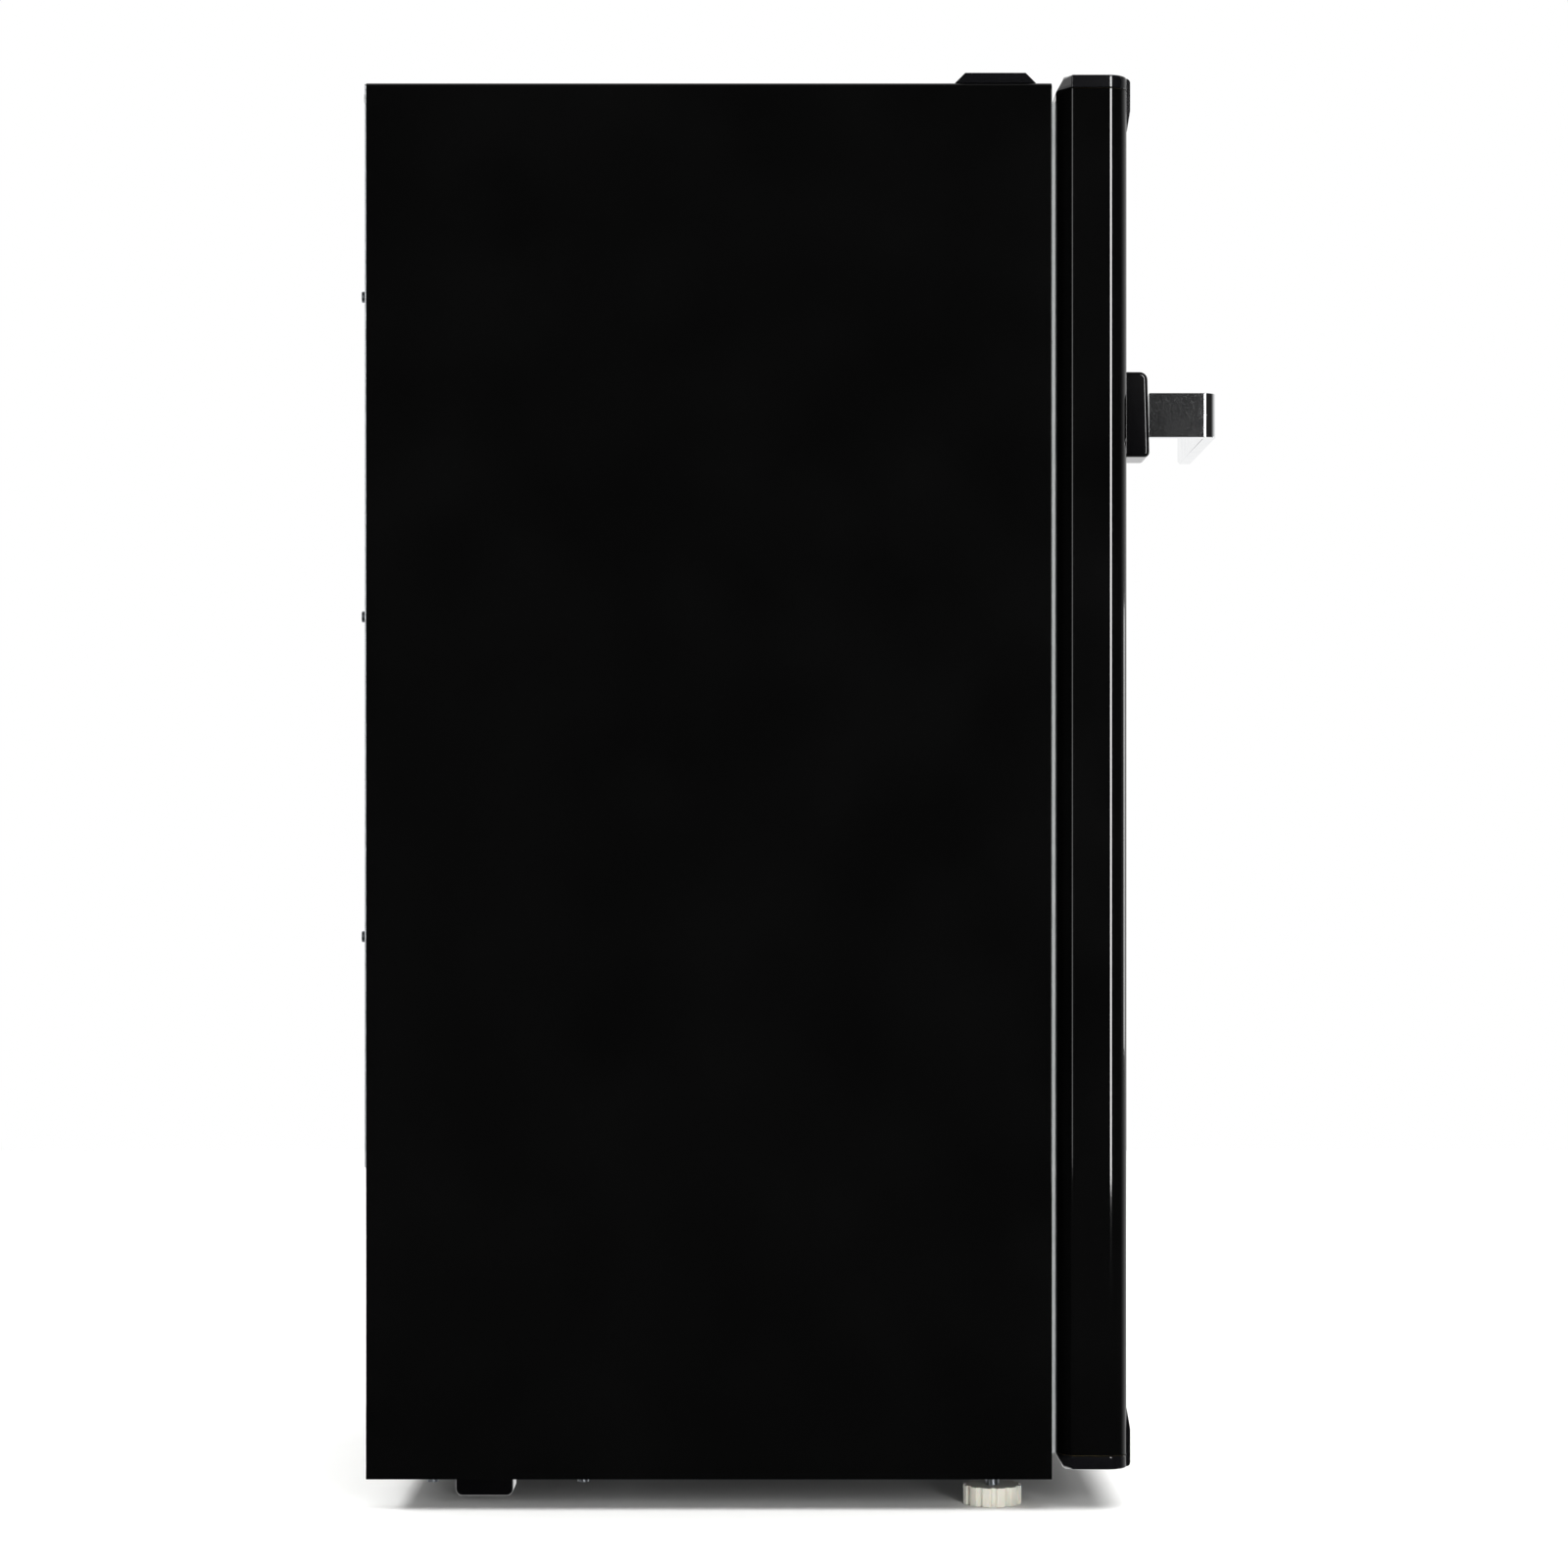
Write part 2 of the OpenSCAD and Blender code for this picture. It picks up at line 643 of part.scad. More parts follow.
module freezer_box() {
    color("#c3c8cb") difference() {
        block([ice_x0, ice_y0, ice_z0], [ice_x1, ice_y1, ice_z1]);
        block([ice_x0 + ice_t, ice_y0 - cut, ice_z0 + ice_t],
            [ice_x1 - ice_t, ice_y1 - ice_t, ice_z1 - ice_t]);
        rods(hanger_spots, ice_z1 - ice_t - cut, hanger_d, ice_t + 2 * cut);
    }
}
hanger_spots = [for (x = [ice_x0 + 30, ice_x1 - 30], y = [ice_y0 + 30, ice_y1 - 30]) [x, y]];
module freezer_hangers() {
    color("#f2f2ee") for (p = hanger_spots) {
        translate([p[0], p[1], ice_z1]) cylinder(d = 14, h = in_z1 - ice_z1);
        translate([p[0], p[1], ice_z1 - ice_t]) cylinder(d = hanger_d - 2 * run, h = ice_t);
        translate([p[0], p[1], ice_z1 - ice_t - 3]) cylinder(d = 11, h = 3);
    }
}
ear_t = 5;
module freezer_frame() {
    y0 = ice_y0 - frame_d;
    color("#f4f5f5") difference() {
        union() {
            along_y(y0, ice_y0) rect_ring([ice_x0, ice_z0], [ice_x1, ice_z1], 8);
            for (x = [ice_x0, ice_x1 - ear_t])
                along_x(x, x + ear_t) {
                    rect([flap_axis_y, flap_axis_z - 6], [y0 + cut, flap_axis_z + 6]);
                    translate([flap_axis_y, flap_axis_z]) circle(6);
                }
        }
        along_x(ice_x0 - cut, ice_x1 + cut) translate([flap_axis_y, flap_axis_z])
            circle(d = flap_pin_d + 2 * run);
    }
}
module freezer_flap() {
    x0 = ice_x0 + ear_t + 0.5;
    x1 = ice_x1 - ear_t - 0.5;
    yb = ice_y0 - frame_d - flap_gap;
    z0 = ice_z0 + 4;
    color("#dfe6ea") {
        along_x(x0, x1) {
            rect([yb - flap_t, z0], [yb, flap_axis_z]);
            translate([flap_axis_y, flap_axis_z]) circle(3.0);
            rect([yb - flap_t - 10, z0], [yb - flap_t, z0 + 2.5]);
        }
        along_x(ice_x0 + 0.5, ice_x1 - 0.5) translate([flap_axis_y, flap_axis_z]) circle(d = flap_pin_d);
    }
}
rail_t = 1.6;
module tray_rails() {
    color("#f4f5f5") for (s = [0, 1]) {
        x = s == 0 ? ice_x0 + 4 : ice_x1 - 4 - rail_t;
        foot = s == 0 ? [x, x + 9] : [x + rail_t - 9, x + rail_t];
        along_y(ice_y0 + 4, ice_y1 - 4) {
            rect([x, tray_z0 - 1 - rail_t], [x + rail_t, ice_z0]);
            rect([foot[0], tray_z0 - 1 - rail_t], [foot[1], tray_z0 - 1]);
            rect([foot[0], ice_z0 - rail_t], [foot[1], ice_z0]);
        }
    }
}
module drip_tray() {
    x0 = ice_x0 + 4 + rail_t + 1;
    x1 = ice_x1 - 4 - rail_t - 1;
    y0 = ice_y0 - 6;
    y1 = ice_y1 - 6;
    color("#e9eef0") difference() {
        block([x0, y0, tray_z0 - 1 + 0.05], [x1, y1, tray_z1 - 1]);
        block([x0 + tray_wall, y0 + tray_wall, tray_z0 + tray_wall],
            [x1 - tray_wall, y1 - tray_wall, tray_z1]);
    }
}

control_x0 = ice_x1 + 8;
control_y0 = ice_y0 - 18;
control_l = 110;
control_h = 58;
dial_hub = [(control_x0 + in_x) / 2, in_z1 - control_h / 2];
module thermostat_housing() {
    a = [control_x0, control_y0, in_z1 - control_h];
    b = [in_x, control_y0 + control_l, in_z1];
    color("#f0f1f0") difference() {
        along_y(a[1], b[1]) {
            round_rect([a[0], a[2]], [b[0], b[2]], 5);
            rect([a[0] + 20, a[2] + 20], [b[0], b[2]]);
            rect([a[0] + 20, a[2]], [b[0], b[2] - 20]);
            rect([a[0], a[2] + 20], [b[0] - 20, b[2]]);
        }
        block([a[0] + 2, a[1] + 2, a[2] + 2], [b[0] + cut, b[1] - 2, b[2] + cut]);
        translate([dial_hub[0], a[1] - cut, dial_hub[1]]) rotate([-90, 0, 0])
            cylinder(d = dial_shaft_d + 2 * run, h = 4);
    }
}
module thermostat_dial() {
    color("#dfe1e2") translate([dial_hub[0], control_y0, dial_hub[1]]) rotate([90, 0, 0]) {
        translate([0, 0, 0.4]) cylinder(d = dial_d, h = 6);
        translate([0, 0, -8]) cylinder(d = dial_shaft_d, h = 9);
        translate([-2.5, -dial_d / 2 + 3, 6.4]) cube([5, dial_d - 6, 7]);
    }
}

shelf_half = in_x - wall_gap;
module glass_plate(z) {
    color("#bfe3dc", 0.45) block([-shelf_half, shelf_y + 4, z], [shelf_half, shelf_rear, z + glass_t]);
}
module glass_trim(z) {
    color("#f3f4f4") difference() {
        along_x(-shelf_half, shelf_half)
            round_rect([shelf_y, z - trim_lip], [shelf_y + trim_d, z + glass_t + trim_lip], 1.5);
        block([-shelf_half - cut, shelf_y + 4, z], [shelf_half + cut, shelf_y + trim_d + cut, z + glass_t]);
    }
}
module shelf_glass() { glass_plate(shelf_z); }
module shelf_trim() { glass_trim(shelf_z); }
module crisper_cover() { glass_plate(cover_z); }
module crisper_trim() { glass_trim(cover_z); }
module crisper_drawer() {
    z0 = hump_z + 0.4;
    z1 = z0 + drawer_h - 6;
    y1 = in_back - 12;
    color("#cfe4ea", 0.6) difference() {
        union() {
            block([-drawer_x, drawer_y, z0], [drawer_x, y1, z1]);
            block([-drawer_x / 2, drawer_y - 12, z1 - 16], [drawer_x / 2, drawer_y, z1 - 13]);
            block([-drawer_x - 4, drawer_y, z1 - 3], [drawer_x + 4, y1, z1]);
        }
        block([-drawer_x + drawer_wall, drawer_y + drawer_wall, z0 + drawer_wall],
              [drawer_x - drawer_wall, y1 - drawer_wall, z1 + cut]);
    }
}

// ---- Hinges ----

module upper_hinge_plate() {
    x0 = pivot_x - 22;
    color("#2a2c2e") difference() {
        union() {
            along_z(top_z, top_z + plate_t) {
                rect([pivot_x - nose_r, pivot_y],
                    [side_x - cover_in - cover_wall - fit, front_y + hinge_rear]);
                rect([x0, front_y + hinge_rear - 13], [pivot_x, front_y + hinge_rear]);
                translate([pivot_x, pivot_y]) circle(nose_r - fit);
            }
            translate([pivot_x, pivot_y, top_z - pin_l]) cylinder(d = pin_d, h = pin_l + plate_t);
        }
        rods(upper_screws, top_z - cut, screw_d + fit, plate_t + 2 * cut);
    }
}
module lower_hinge_bracket() {
    z0 = under_z - bracket_t;
    color("#2a2c2e") difference() {
        union() {
            along_z(z0, under_z) {
                rect([side_x - 52, front_y + 4], [side_x - 3, front_y + 64]);
                rect([pivot_x - nose_r, pivot_y], [pivot_x + nose_r - fit, front_y + 64]);
                translate([pivot_x, pivot_y]) circle(nose_r);
            }
            translate([pivot_x, pivot_y, z0]) cylinder(d = pin_d, h = bracket_t + door_raise + pin_l - 1);
        }
        translate([side_x - foot_in, front_y + foot_back, z0 - cut])
            cylinder(d = stud_d + 1, h = bracket_t + 2 * cut);
        rods(lower_screws, z0 - cut, screw_d + fit, bracket_t + 2 * cut);
    }
}
module hinge_screws() {
    color("#aeb1b3") {
        for (p = upper_screws) translate([p[0], p[1], top_z + plate_t]) mirror([0, 0, 1])
            pan_screw(plate_t + 6);
        for (p = lower_screws) translate([p[0], p[1], under_z - bracket_t]) pan_screw(bracket_t + 6);
    }
}
module hinge_washer() {
    color("#e8e8e4") translate([pivot_x, pivot_y, under_z]) difference() {
        cylinder(d = 16, h = door_raise - run);
        translate([0, 0, -cut]) cylinder(d = pin_d + 4 * run, h = door_raise + 2 * cut);
    }
}
// Cap over the hinge screws: sloping ends, hollow from below
module cover_shape(front_slot) {
    y0 = front_y + cover_front;
    y1 = y0 + cover_l;
    x1 = side_x - cover_in;
    x0 = x1 - cover_w;
    z1 = top_z + door_over;
    t = cover_wall;
    difference() {
        along_x(x0, x1) polygon([[y0, top_z], [y1, top_z], [y1 - cover_taper, z1], [y0 + cover_taper, z1]]);
        along_x(x0 + t, x1 - t) polygon([[y0 + t + 0.6, top_z - cut], [y1 - t - 0.6, top_z - cut],
            [y1 - t - 0.6, top_z + 0.6], [y1 - cover_taper - t, z1 - t], [y0 + cover_taper + t, z1 - t],
            [y0 + t + 0.6, top_z + 0.6]]);
        if (front_slot) block([pivot_x - nose_r - fit, y0 - cut, top_z - cut],
            [pivot_x + nose_r, y0 + 12, top_z + plate_t + fit]);
    }
}
module hinge_cover() { color("#131415") cover_shape(true); }
module spare_hinge_cover() { color("#131415") mirror([1, 0, 0]) cover_shape(false); }

// ---- Feet ----

stud_z0 = 3;
stud_z1 = under_z + 2 * sheet_t + 13;
nut_h = 6.5;
disc_grooves = 12;
module foot_nuts() {
    color("#b9bcbe") both_sides()
        translate([side_x - foot_in, front_y + foot_back, under_z + 2 * sheet_t]) difference() {
            cylinder(d = stud_d + 7, h = nut_h, $fn = 6);
            translate([0, 0, -cut]) cylinder(d = stud_d + 2 * run, h = nut_h + 2 * cut);
        }
}
module foot_stud() {
    color("#e6e6e0") translate([side_x - foot_in, front_y + foot_back, stud_z0])
        cylinder(d = stud_d, h = stud_z1 - stud_z0);
}
module foot_disc() {
    color("#eceae2") translate([side_x - foot_in, front_y + foot_back, 0]) difference() {
        cylinder(d = disc_d, h = disc_h);
        translate([0, 0, stud_z0 - 0.1]) cylinder(d = stud_d + 2 * run, h = disc_h);
        for (i = [1 : disc_grooves]) rotate(i * 360 / disc_grooves) translate([disc_d / 2 + 0.4, 0, -cut])
            cylinder(d = 4, h = disc_h + 2 * cut);
    }
}
module foot_stud_right() { foot_stud(); }
module foot_stud_left() { mirror([1, 0, 0]) foot_stud(); }
module foot_disc_right() { foot_disc(); }
module foot_disc_left() { mirror([1, 0, 0]) foot_disc(); }

// ---- Door ----

// Plan of the door, shrunk by a sheet thickness where wanted
bend_step = 5;                      // degrees between the points of the front bends
function corner_arc(x, r) =
    [for (a = [0 : bend_step : 90]) [x + r * cos(a), door_front + door_bend - r * sin(a)]];
function flipped(p) = [for (i = [len(p) - 1 : -1 : 0]) [-p[i][0], p[i][1]]];
module door_plan(inset) {
    turn = atan2(bevel_in, bevel_d);
    side = side_x - inset;
    corner_y = door_rear - bevel_d - inset * tan(turn / 2);
    rear_x = side - (door_rear - corner_y) * bevel_in / bevel_d;
    half = concat([[rear_x, door_rear], [side, corner_y]], corner_arc(side_x - door_bend, door_bend - inset));
    polygon(concat(half, flipped(half)));
}
skin_rear_x = side_x - bevel_in;
module door_skin() {
    color("#141516") difference() {
        along_z(cap_z0, cap_z1) door_plan(0);
        along_z(cap_z0 - cut, cap_z1 + cut) door_plan(sheet_t);
        block([-skin_rear_x + 2, door_rear - cut, cap_z0 - cut], [skin_rear_x - 2, front_y, cap_z1 + cut]);
        for (z = handle_screw_z) translate([handle_x, door_front + 2 * sheet_t, z]) rotate([90, 0, 0])
            cylinder(d = handle_screw_d + fit, h = 3 * sheet_t);
    }
}

// An end cap's apron in section: it stands in front of the skin and thins out towards its edge
apron_taper = 12;
apron_seat = 2;                     // how deep the apron is joined to its cap
module apron(reach) {
    y0 = door_front - apron_out;
    along_x(-side_x + door_bend, side_x - door_bend)
        polygon([[door_front, -reach], [y0, apron_taper - reach], [y0, cap_h],
            [door_front + apron_seat, cap_h],
                 [door_front + apron_seat, 0], [door_front, 0]]);
}
module door_boss(s, z0, z1) { translate([s * pivot_x, pivot_y, z0]) cylinder(d = boss_d, h = z1 - z0); }
module notch(s) {
    x0 = s > 0 ? pivot_x - notch_r : -side_x - cut;
    block([x0, notch_front, notch_z], [x0 + side_x + cut - pivot_x + notch_r, front_y, door_z1 + cut]);
}
slope_y = 5;                        // the caps' rear faces lean forward by this much
module door_top_cap() {
    color("#17181a") difference() {
        union() {
            along_z(cap_z1, door_z1) door_plan(0);
            translate([0, 0, cap_z1]) apron(apron_top);
            block([-skin_rear_x + 1, door_rear - 9, seal_top + fit],
                [skin_rear_x - 1, door_rear, cap_z1 + cut]);
            for (s = [-1, 1]) door_boss(s, top_z - pin_l - 4, cap_z1 + cut);
        }
        along_x(-side_x - cut, side_x + cut)
            polygon([[door_rear + cut, seal_top - cut], [door_rear, seal_top],
            [door_rear - slope_y, door_z1 - 4.5], [door_rear - slope_y, door_z1 + cut],
            [door_rear + cut, door_z1 + cut]]);
        for (s = [-1, 1]) {
            notch(s);
            translate([s * pivot_x, pivot_y, notch_z - bush_l]) cylinder(d = bush_d, h = bush_l + cut);
        }
    }
}
module door_bottom_cap() {
    color("#17181a") difference() {
        union() {
            along_z(door_z0, cap_z0) door_plan(0);
            translate([0, 0, cap_z0]) mirror([0, 0, 1]) apron(apron_bot);
            for (s = [-1, 1]) door_boss(s, cap_z0 - cut, door_z0 + bush_l + 2);
        }
        along_x(-side_x - cut, side_x + cut)
            polygon([[door_rear + cut, cap_z0 + cut], [door_rear - 1, cap_z0 + cut],
            [door_rear - 1, cap_z0], [door_rear - slope_y, door_z0],
            [door_rear - slope_y, door_z0 - cut], [door_rear + cut, door_z0 - cut]]);
        for (s = [-1, 1]) translate([s * pivot_x, pivot_y, door_z0 - cut])
            cylinder(d = bush_d, h = bush_l + cut);
    }
}
// Pieces that fill the unused hinge places of a reversible door
module cap_plugs() {
    color("#17181a") {
        intersection() {
            along_z(notch_z, door_z1) door_plan(0);
            block([-side_x, notch_front + fit, notch_z],
                [-pivot_x + notch_r - fit, door_rear - slope_y, door_z1]);
        }
        translate([-pivot_x, pivot_y, notch_z - 10]) cylinder(d = bush_d - 2 * run, h = 10);
        translate([-pivot_x, pivot_y, door_z0 - 1]) cylinder(d = bush_d + 4, h = 1);
        translate([-pivot_x, pivot_y, door_z0]) cylinder(d = bush_d - 2 * run, h = 10);
    }
}
module hinge_bushes() {
    color("#e8e8e4") for (z = [notch_z - bush_l, door_z0]) translate([pivot_x, pivot_y, z]) difference() {
        cylinder(d = bush_d, h = bush_l);
        translate([0, 0, -cut]) cylinder(d = pin_d + 2 * run, h = bush_l + 2 * cut);
    }
}

// Raised middle and pillars of the door liner, shrunk by the liner's thickness for what fills them
module dyke(inset) {
    y0 = door_rear - liner_t - (inset > 0 ? cut : 0);
    block([-pillar_x + inset, y0, dyke_z0 + inset],
        [pillar_x - inset, front_y + plateau - inset, dyke_z1 - inset]);
    both_sides() block([rack_x + inset, y0, dyke_z0 + inset],
                       [pillar_x - inset, front_y + pillar_out - inset, tray_z0 - 18 - inset]);
}
liner_z0 = seal_bot + 1;
liner_z1 = seal_top - fit;
module door_foam() {
    color("#d9c27a") difference() {
        union() {
            along_z(cap_z0, cap_z1) difference() {
                door_plan(sheet_t);
                rect([-side_x, door_rear - liner_t], [side_x, front_y]);
            }
            intersection() {
                dyke(liner_t);
                block([-side_x, door_rear - liner_t, 0], [side_x, back_y, top_z]);
            }
        }
        for (s = [-1, 1]) {
            door_boss(s, cap_z1 - 40, door_z1);
            door_boss(s, 0, door_z0 + bush_l + 2);
        }
        block([-side_x, door_rear - 9.2, seal_top], [side_x, front_y, door_z1]);
        along_y(door_rear - dart_l - groove_t, door_rear) dart_ring(groove_t);
        for (z = handle_screw_z) translate([handle_x, door_front + sheet_t + 12, z]) rotate([90, 0, 0])
            cylinder(d = 7, h = 12);
    }
}
module dart_ring(grow) {
    off = seal_w / 2 - dart_w / 2 - grow;
    rect_ring([-seal_x + off, seal_bot + off], [seal_x - off, seal_top - off], dart_w + 2 * grow);
}
module door_liner() {
    half = skin_rear_x - 1.5;
    peg = 6;
    color("#eef0f0") {
        difference() {
            union() {
                block([-half, door_rear - liner_t, liner_z0], [half, door_rear, liner_z1]);
                dyke(0);
                along_y(door_rear - dart_l - groove_t, door_rear) dart_ring(groove_t);
            }
            dyke(liner_t);
            along_y(door_rear - dart_l, door_rear + cut) dart_ring(0);
        }
        both_sides() for (z = [bottle_z, can_z, upper_z])
            block([rack_x - peg, front_y + plateau - 0.5, z - peg],
                [rack_x + 0.5, front_y + pillar_out - 8, z]);
    }
}
module gasket() {
    color("#b3b1ac") difference() {
        union() {
            along_y(door_rear, door_rear + seal_t) rect_ring([-seal_x, seal_bot], [seal_x, seal_top], seal_w);
            along_y(door_rear - dart_l, door_rear) dart_ring(0);
        }
        along_y(door_rear + 0.8, door_rear + 2.1) difference() {
            rect([-seal_x + 4, seal_bot + 4], [seal_x - 4, seal_top - 4]);
            rect([-seal_x + seal_w + cut, seal_bot + seal_w + cut],
                [seal_x - seal_w - cut, seal_top - seal_w - cut]);
        }
    }
}
module gasket_magnets() {
    color("#3a3a3c") along_y(door_rear + 0.8, door_rear + 2.1)
        rect_ring([-seal_x + 4.1, seal_bot + 4.1], [seal_x - 4.1, seal_top - 4.1], seal_w - 4.5);
}
module rack(z, h, rail_z) {
    half = rack_x - rack_gap;
    y0 = front_y + plateau + rack_gap;
    y1 = front_y + rack_reach;
    color("#e4e9eb") difference() {
        block([-half, y0, z], [half, y1, z + h]);
        block([-half + rack_wall, y0 + rack_wall, z + rack_wall],
            [half - rack_wall, y1 - rack_wall, z + h + cut]);
        block([-half + 14, y1 - rack_wall - cut, z + rail_z], [half - 14, y1 + cut, z + h - 14]);
        block([-half + 14, y0 - cut, z + 14], [half - 14, y0 + rack_wall + cut, z + h + cut]);
    }
}
module upper_rack() { rack(upper_z, can_h, 30); }
module can_rack() { rack(can_z, can_h, 30); }
module bottle_rack() { rack(bottle_z, bottle_h, 44); }

// ---- Handle ----

handle_z = under_z + handle_up;
handle_x0 = -side_x + handle_in;
handle_x = handle_x0 + base_w / 2;
handle_screw_d = 3.9;
handle_screw_z = [handle_z - base_h * 0.3, handle_z + base_h * 0.3];
lever_front = door_front - handle_out;
lever_bend = 9;
module handle_base() {
    z0 = handle_z - base_h / 2;
    color("#c9ccd0") difference() {
        intersection() {
            along_y(door_front - base_t, door_front)
                round_rect([handle_x0, z0], [handle_x0 + base_w, z0 + base_h], 5);
            along_x(handle_x0 - cut, handle_x0 + base_w + cut)
                polygon([[door_front, z0], [door_front, z0 + base_h],
                [door_front - base_t + 5, z0 + base_h], [door_front - base_t, z0 + base_h - 5],
                [door_front - base_t, z0 + 5], [door_front - base_t + 5, z0]]);
        }
        for (z = handle_screw_z) translate([handle_x, door_front + cut, z]) rotate([90, 0, 0])
            cylinder(d = 4, h = 10);
    }
}
module handle_lever() {
    x0 = handle_x0 + 4;
    z0 = handle_z - lever_h / 2;
    r = lever_bend;
    inner = r - lever_t;
    color("#c9ccd0") along_z(z0, z0 + lever_h) {
        rect([x0, lever_front + r], [x0 + lever_t, door_front - base_t]);
        intersection() {
            translate([x0 + r, lever_front + r]) difference() { circle(r); circle(inner); }
            rect([x0, lever_front], [x0 + r, lever_front + r]);
        }
        rect([x0 + r, lever_front], [x0 + lever_l - lever_t / 2, lever_front + lever_t]);
        translate([x0 + lever_l - lever_t / 2, lever_front + lever_t / 2]) circle(lever_t / 2);
    }
}
module handle_screws() {
    color("#9a9c9e") for (z = handle_screw_z) translate([handle_x, door_front, z]) rotate([90, 0, 0]) {
        translate([0, 0, -sheet_t - 2]) cylinder(d = 7, h = 2);
        translate([0, 0, -sheet_t]) cylinder(d = handle_screw_d, h = sheet_t + 8);
    }
}

cabinet_shell();
base_pan();
back_panel();
compartment_deck();
foam_insulation();
inner_liner();
condenser_pipe();
compressor_plate();
rear_feet();
cabinet_screws();
compressor();
compressor_grommets();
compressor_bolts();
relay_cover();
suction_tube();
discharge_tube();
filter_drier();
capillary_tube();
evaporation_tray();
drain_tube();
cord_gland();
freezer_box();
freezer_hangers();
freezer_frame();
freezer_flap();
tray_rails();
drip_tray();
thermostat_housing();
thermostat_dial();
shelf_glass();
shelf_trim();
crisper_cover();
crisper_trim();
crisper_drawer();
upper_hinge_plate();
lower_hinge_bracket();
hinge_screws();
hinge_washer();
hinge_cover();
spare_hinge_cover();
foot_nuts();
foot_stud_left();
foot_stud_right();
foot_disc_left();
foot_disc_right();
door_skin();
door_top_cap();
door_bottom_cap();
cap_plugs();
door_foam();
door_liner();
gasket();
gasket_magnets();
upper_rack();
can_rack();
bottle_rack();
hinge_bushes();
handle_base();
handle_lever();
handle_screws();
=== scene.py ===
# %% [markdown]
# # A small refrigerator, from its fixed frame to its finishes
# The assembly is loaded first as a fixed frame: every part is already in its place, in metres,
# with +Z up and the door facing -Y. Visible parts are then modelled again with the softer
# edges, bends and joints that pressed steel and moulded plastic have, and every part gets a
# finish built from nodes. Measurements below are in millimetres, as on a workshop drawing.

# %% Load the frame and keep its size
import bpy
import bmesh
import json
import math
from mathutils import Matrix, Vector

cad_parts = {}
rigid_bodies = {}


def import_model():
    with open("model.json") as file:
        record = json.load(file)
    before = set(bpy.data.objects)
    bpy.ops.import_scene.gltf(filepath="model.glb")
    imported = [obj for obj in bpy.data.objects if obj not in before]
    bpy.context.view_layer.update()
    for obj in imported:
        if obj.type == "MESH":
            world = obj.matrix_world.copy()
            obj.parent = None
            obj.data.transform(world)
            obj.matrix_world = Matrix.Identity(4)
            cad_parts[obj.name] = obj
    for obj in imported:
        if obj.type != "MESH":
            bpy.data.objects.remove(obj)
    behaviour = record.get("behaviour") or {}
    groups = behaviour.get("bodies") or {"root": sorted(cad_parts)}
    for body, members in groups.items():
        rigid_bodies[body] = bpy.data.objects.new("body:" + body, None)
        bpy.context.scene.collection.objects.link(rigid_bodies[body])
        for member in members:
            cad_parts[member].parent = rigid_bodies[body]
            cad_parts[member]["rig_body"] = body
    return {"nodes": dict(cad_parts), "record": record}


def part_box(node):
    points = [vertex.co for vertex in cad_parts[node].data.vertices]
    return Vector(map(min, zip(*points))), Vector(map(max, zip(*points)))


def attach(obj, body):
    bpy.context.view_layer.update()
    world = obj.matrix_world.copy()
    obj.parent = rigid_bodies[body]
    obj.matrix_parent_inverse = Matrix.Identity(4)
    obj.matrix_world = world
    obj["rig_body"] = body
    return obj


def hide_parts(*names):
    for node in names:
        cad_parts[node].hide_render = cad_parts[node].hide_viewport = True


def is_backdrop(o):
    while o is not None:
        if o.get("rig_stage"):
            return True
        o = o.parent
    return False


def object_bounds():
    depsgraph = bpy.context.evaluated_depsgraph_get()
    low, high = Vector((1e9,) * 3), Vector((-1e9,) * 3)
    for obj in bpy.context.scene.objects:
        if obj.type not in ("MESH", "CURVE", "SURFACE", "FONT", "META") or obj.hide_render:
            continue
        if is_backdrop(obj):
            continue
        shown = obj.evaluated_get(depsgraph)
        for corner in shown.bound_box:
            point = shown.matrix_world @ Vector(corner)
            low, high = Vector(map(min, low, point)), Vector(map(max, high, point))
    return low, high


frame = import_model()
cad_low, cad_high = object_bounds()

MM = 0.001
cad = frame["nodes"]
body_of = {name: part["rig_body"] for name, part in cad.items()}
size = [round((h - l) / MM, 1) for l, h in zip(cad_low, cad_high)]
print("parts:", len(cad), "size in mm:", size)

# %% [markdown]
# ## A few bench tools
# Modelling by hand is always the same round: pick one object, open it, pick some faces or
# edges, run a tool, close it. These helpers do the picking, so that each later cell only says
# which faces are meant and what is done to them. A test gets the middle of a face or an edge in
# millimetres, and the face's normal or the edge's direction.

# %% Picking objects, faces and edges
def only(obj):
    """Makes obj the one selected and active object."""
    if bpy.context.mode != "OBJECT":
        bpy.ops.object.mode_set(mode="OBJECT")
    bpy.ops.object.select_all(action="DESELECT")
    obj.select_set(True)
    bpy.context.view_layer.objects.active = obj


def place_and_direction(part):
    """The middle of a face, an edge or a point in millimetres, and the way that it points."""
    if isinstance(part, bmesh.types.BMFace):
        return part.calc_center_median() / MM, part.normal
    if isinstance(part, bmesh.types.BMEdge):
        a, b = (point.co / MM for point in part.verts)
        return (a + b) / 2, (b - a).normalized()
    return part.co / MM, part.normal


def choose(obj, kind, test):
    """Opens obj with exactly the faces, edges or points selected for which test says yes."""
    if bpy.context.mode == "OBJECT":
        only(obj)
        bpy.ops.object.mode_set(mode="EDIT")
    bpy.ops.mesh.select_mode(type=kind)
    bpy.ops.mesh.select_all(action="DESELECT")
    mesh = bmesh.from_edit_mesh(obj.data)
    mesh.normal_update()
    parts = {"FACE": mesh.faces, "EDGE": mesh.edges, "VERT": mesh.verts}[kind]
    picked = [part for part in parts if test(*place_and_direction(part))]
    for part in picked:
        part.select_set(True)
    bmesh.update_edit_mesh(obj.data)
    return len(picked)


def near(a, b, room=0.05):
    """Whether two measures in millimetres are the same."""
    return abs(a - b) < room


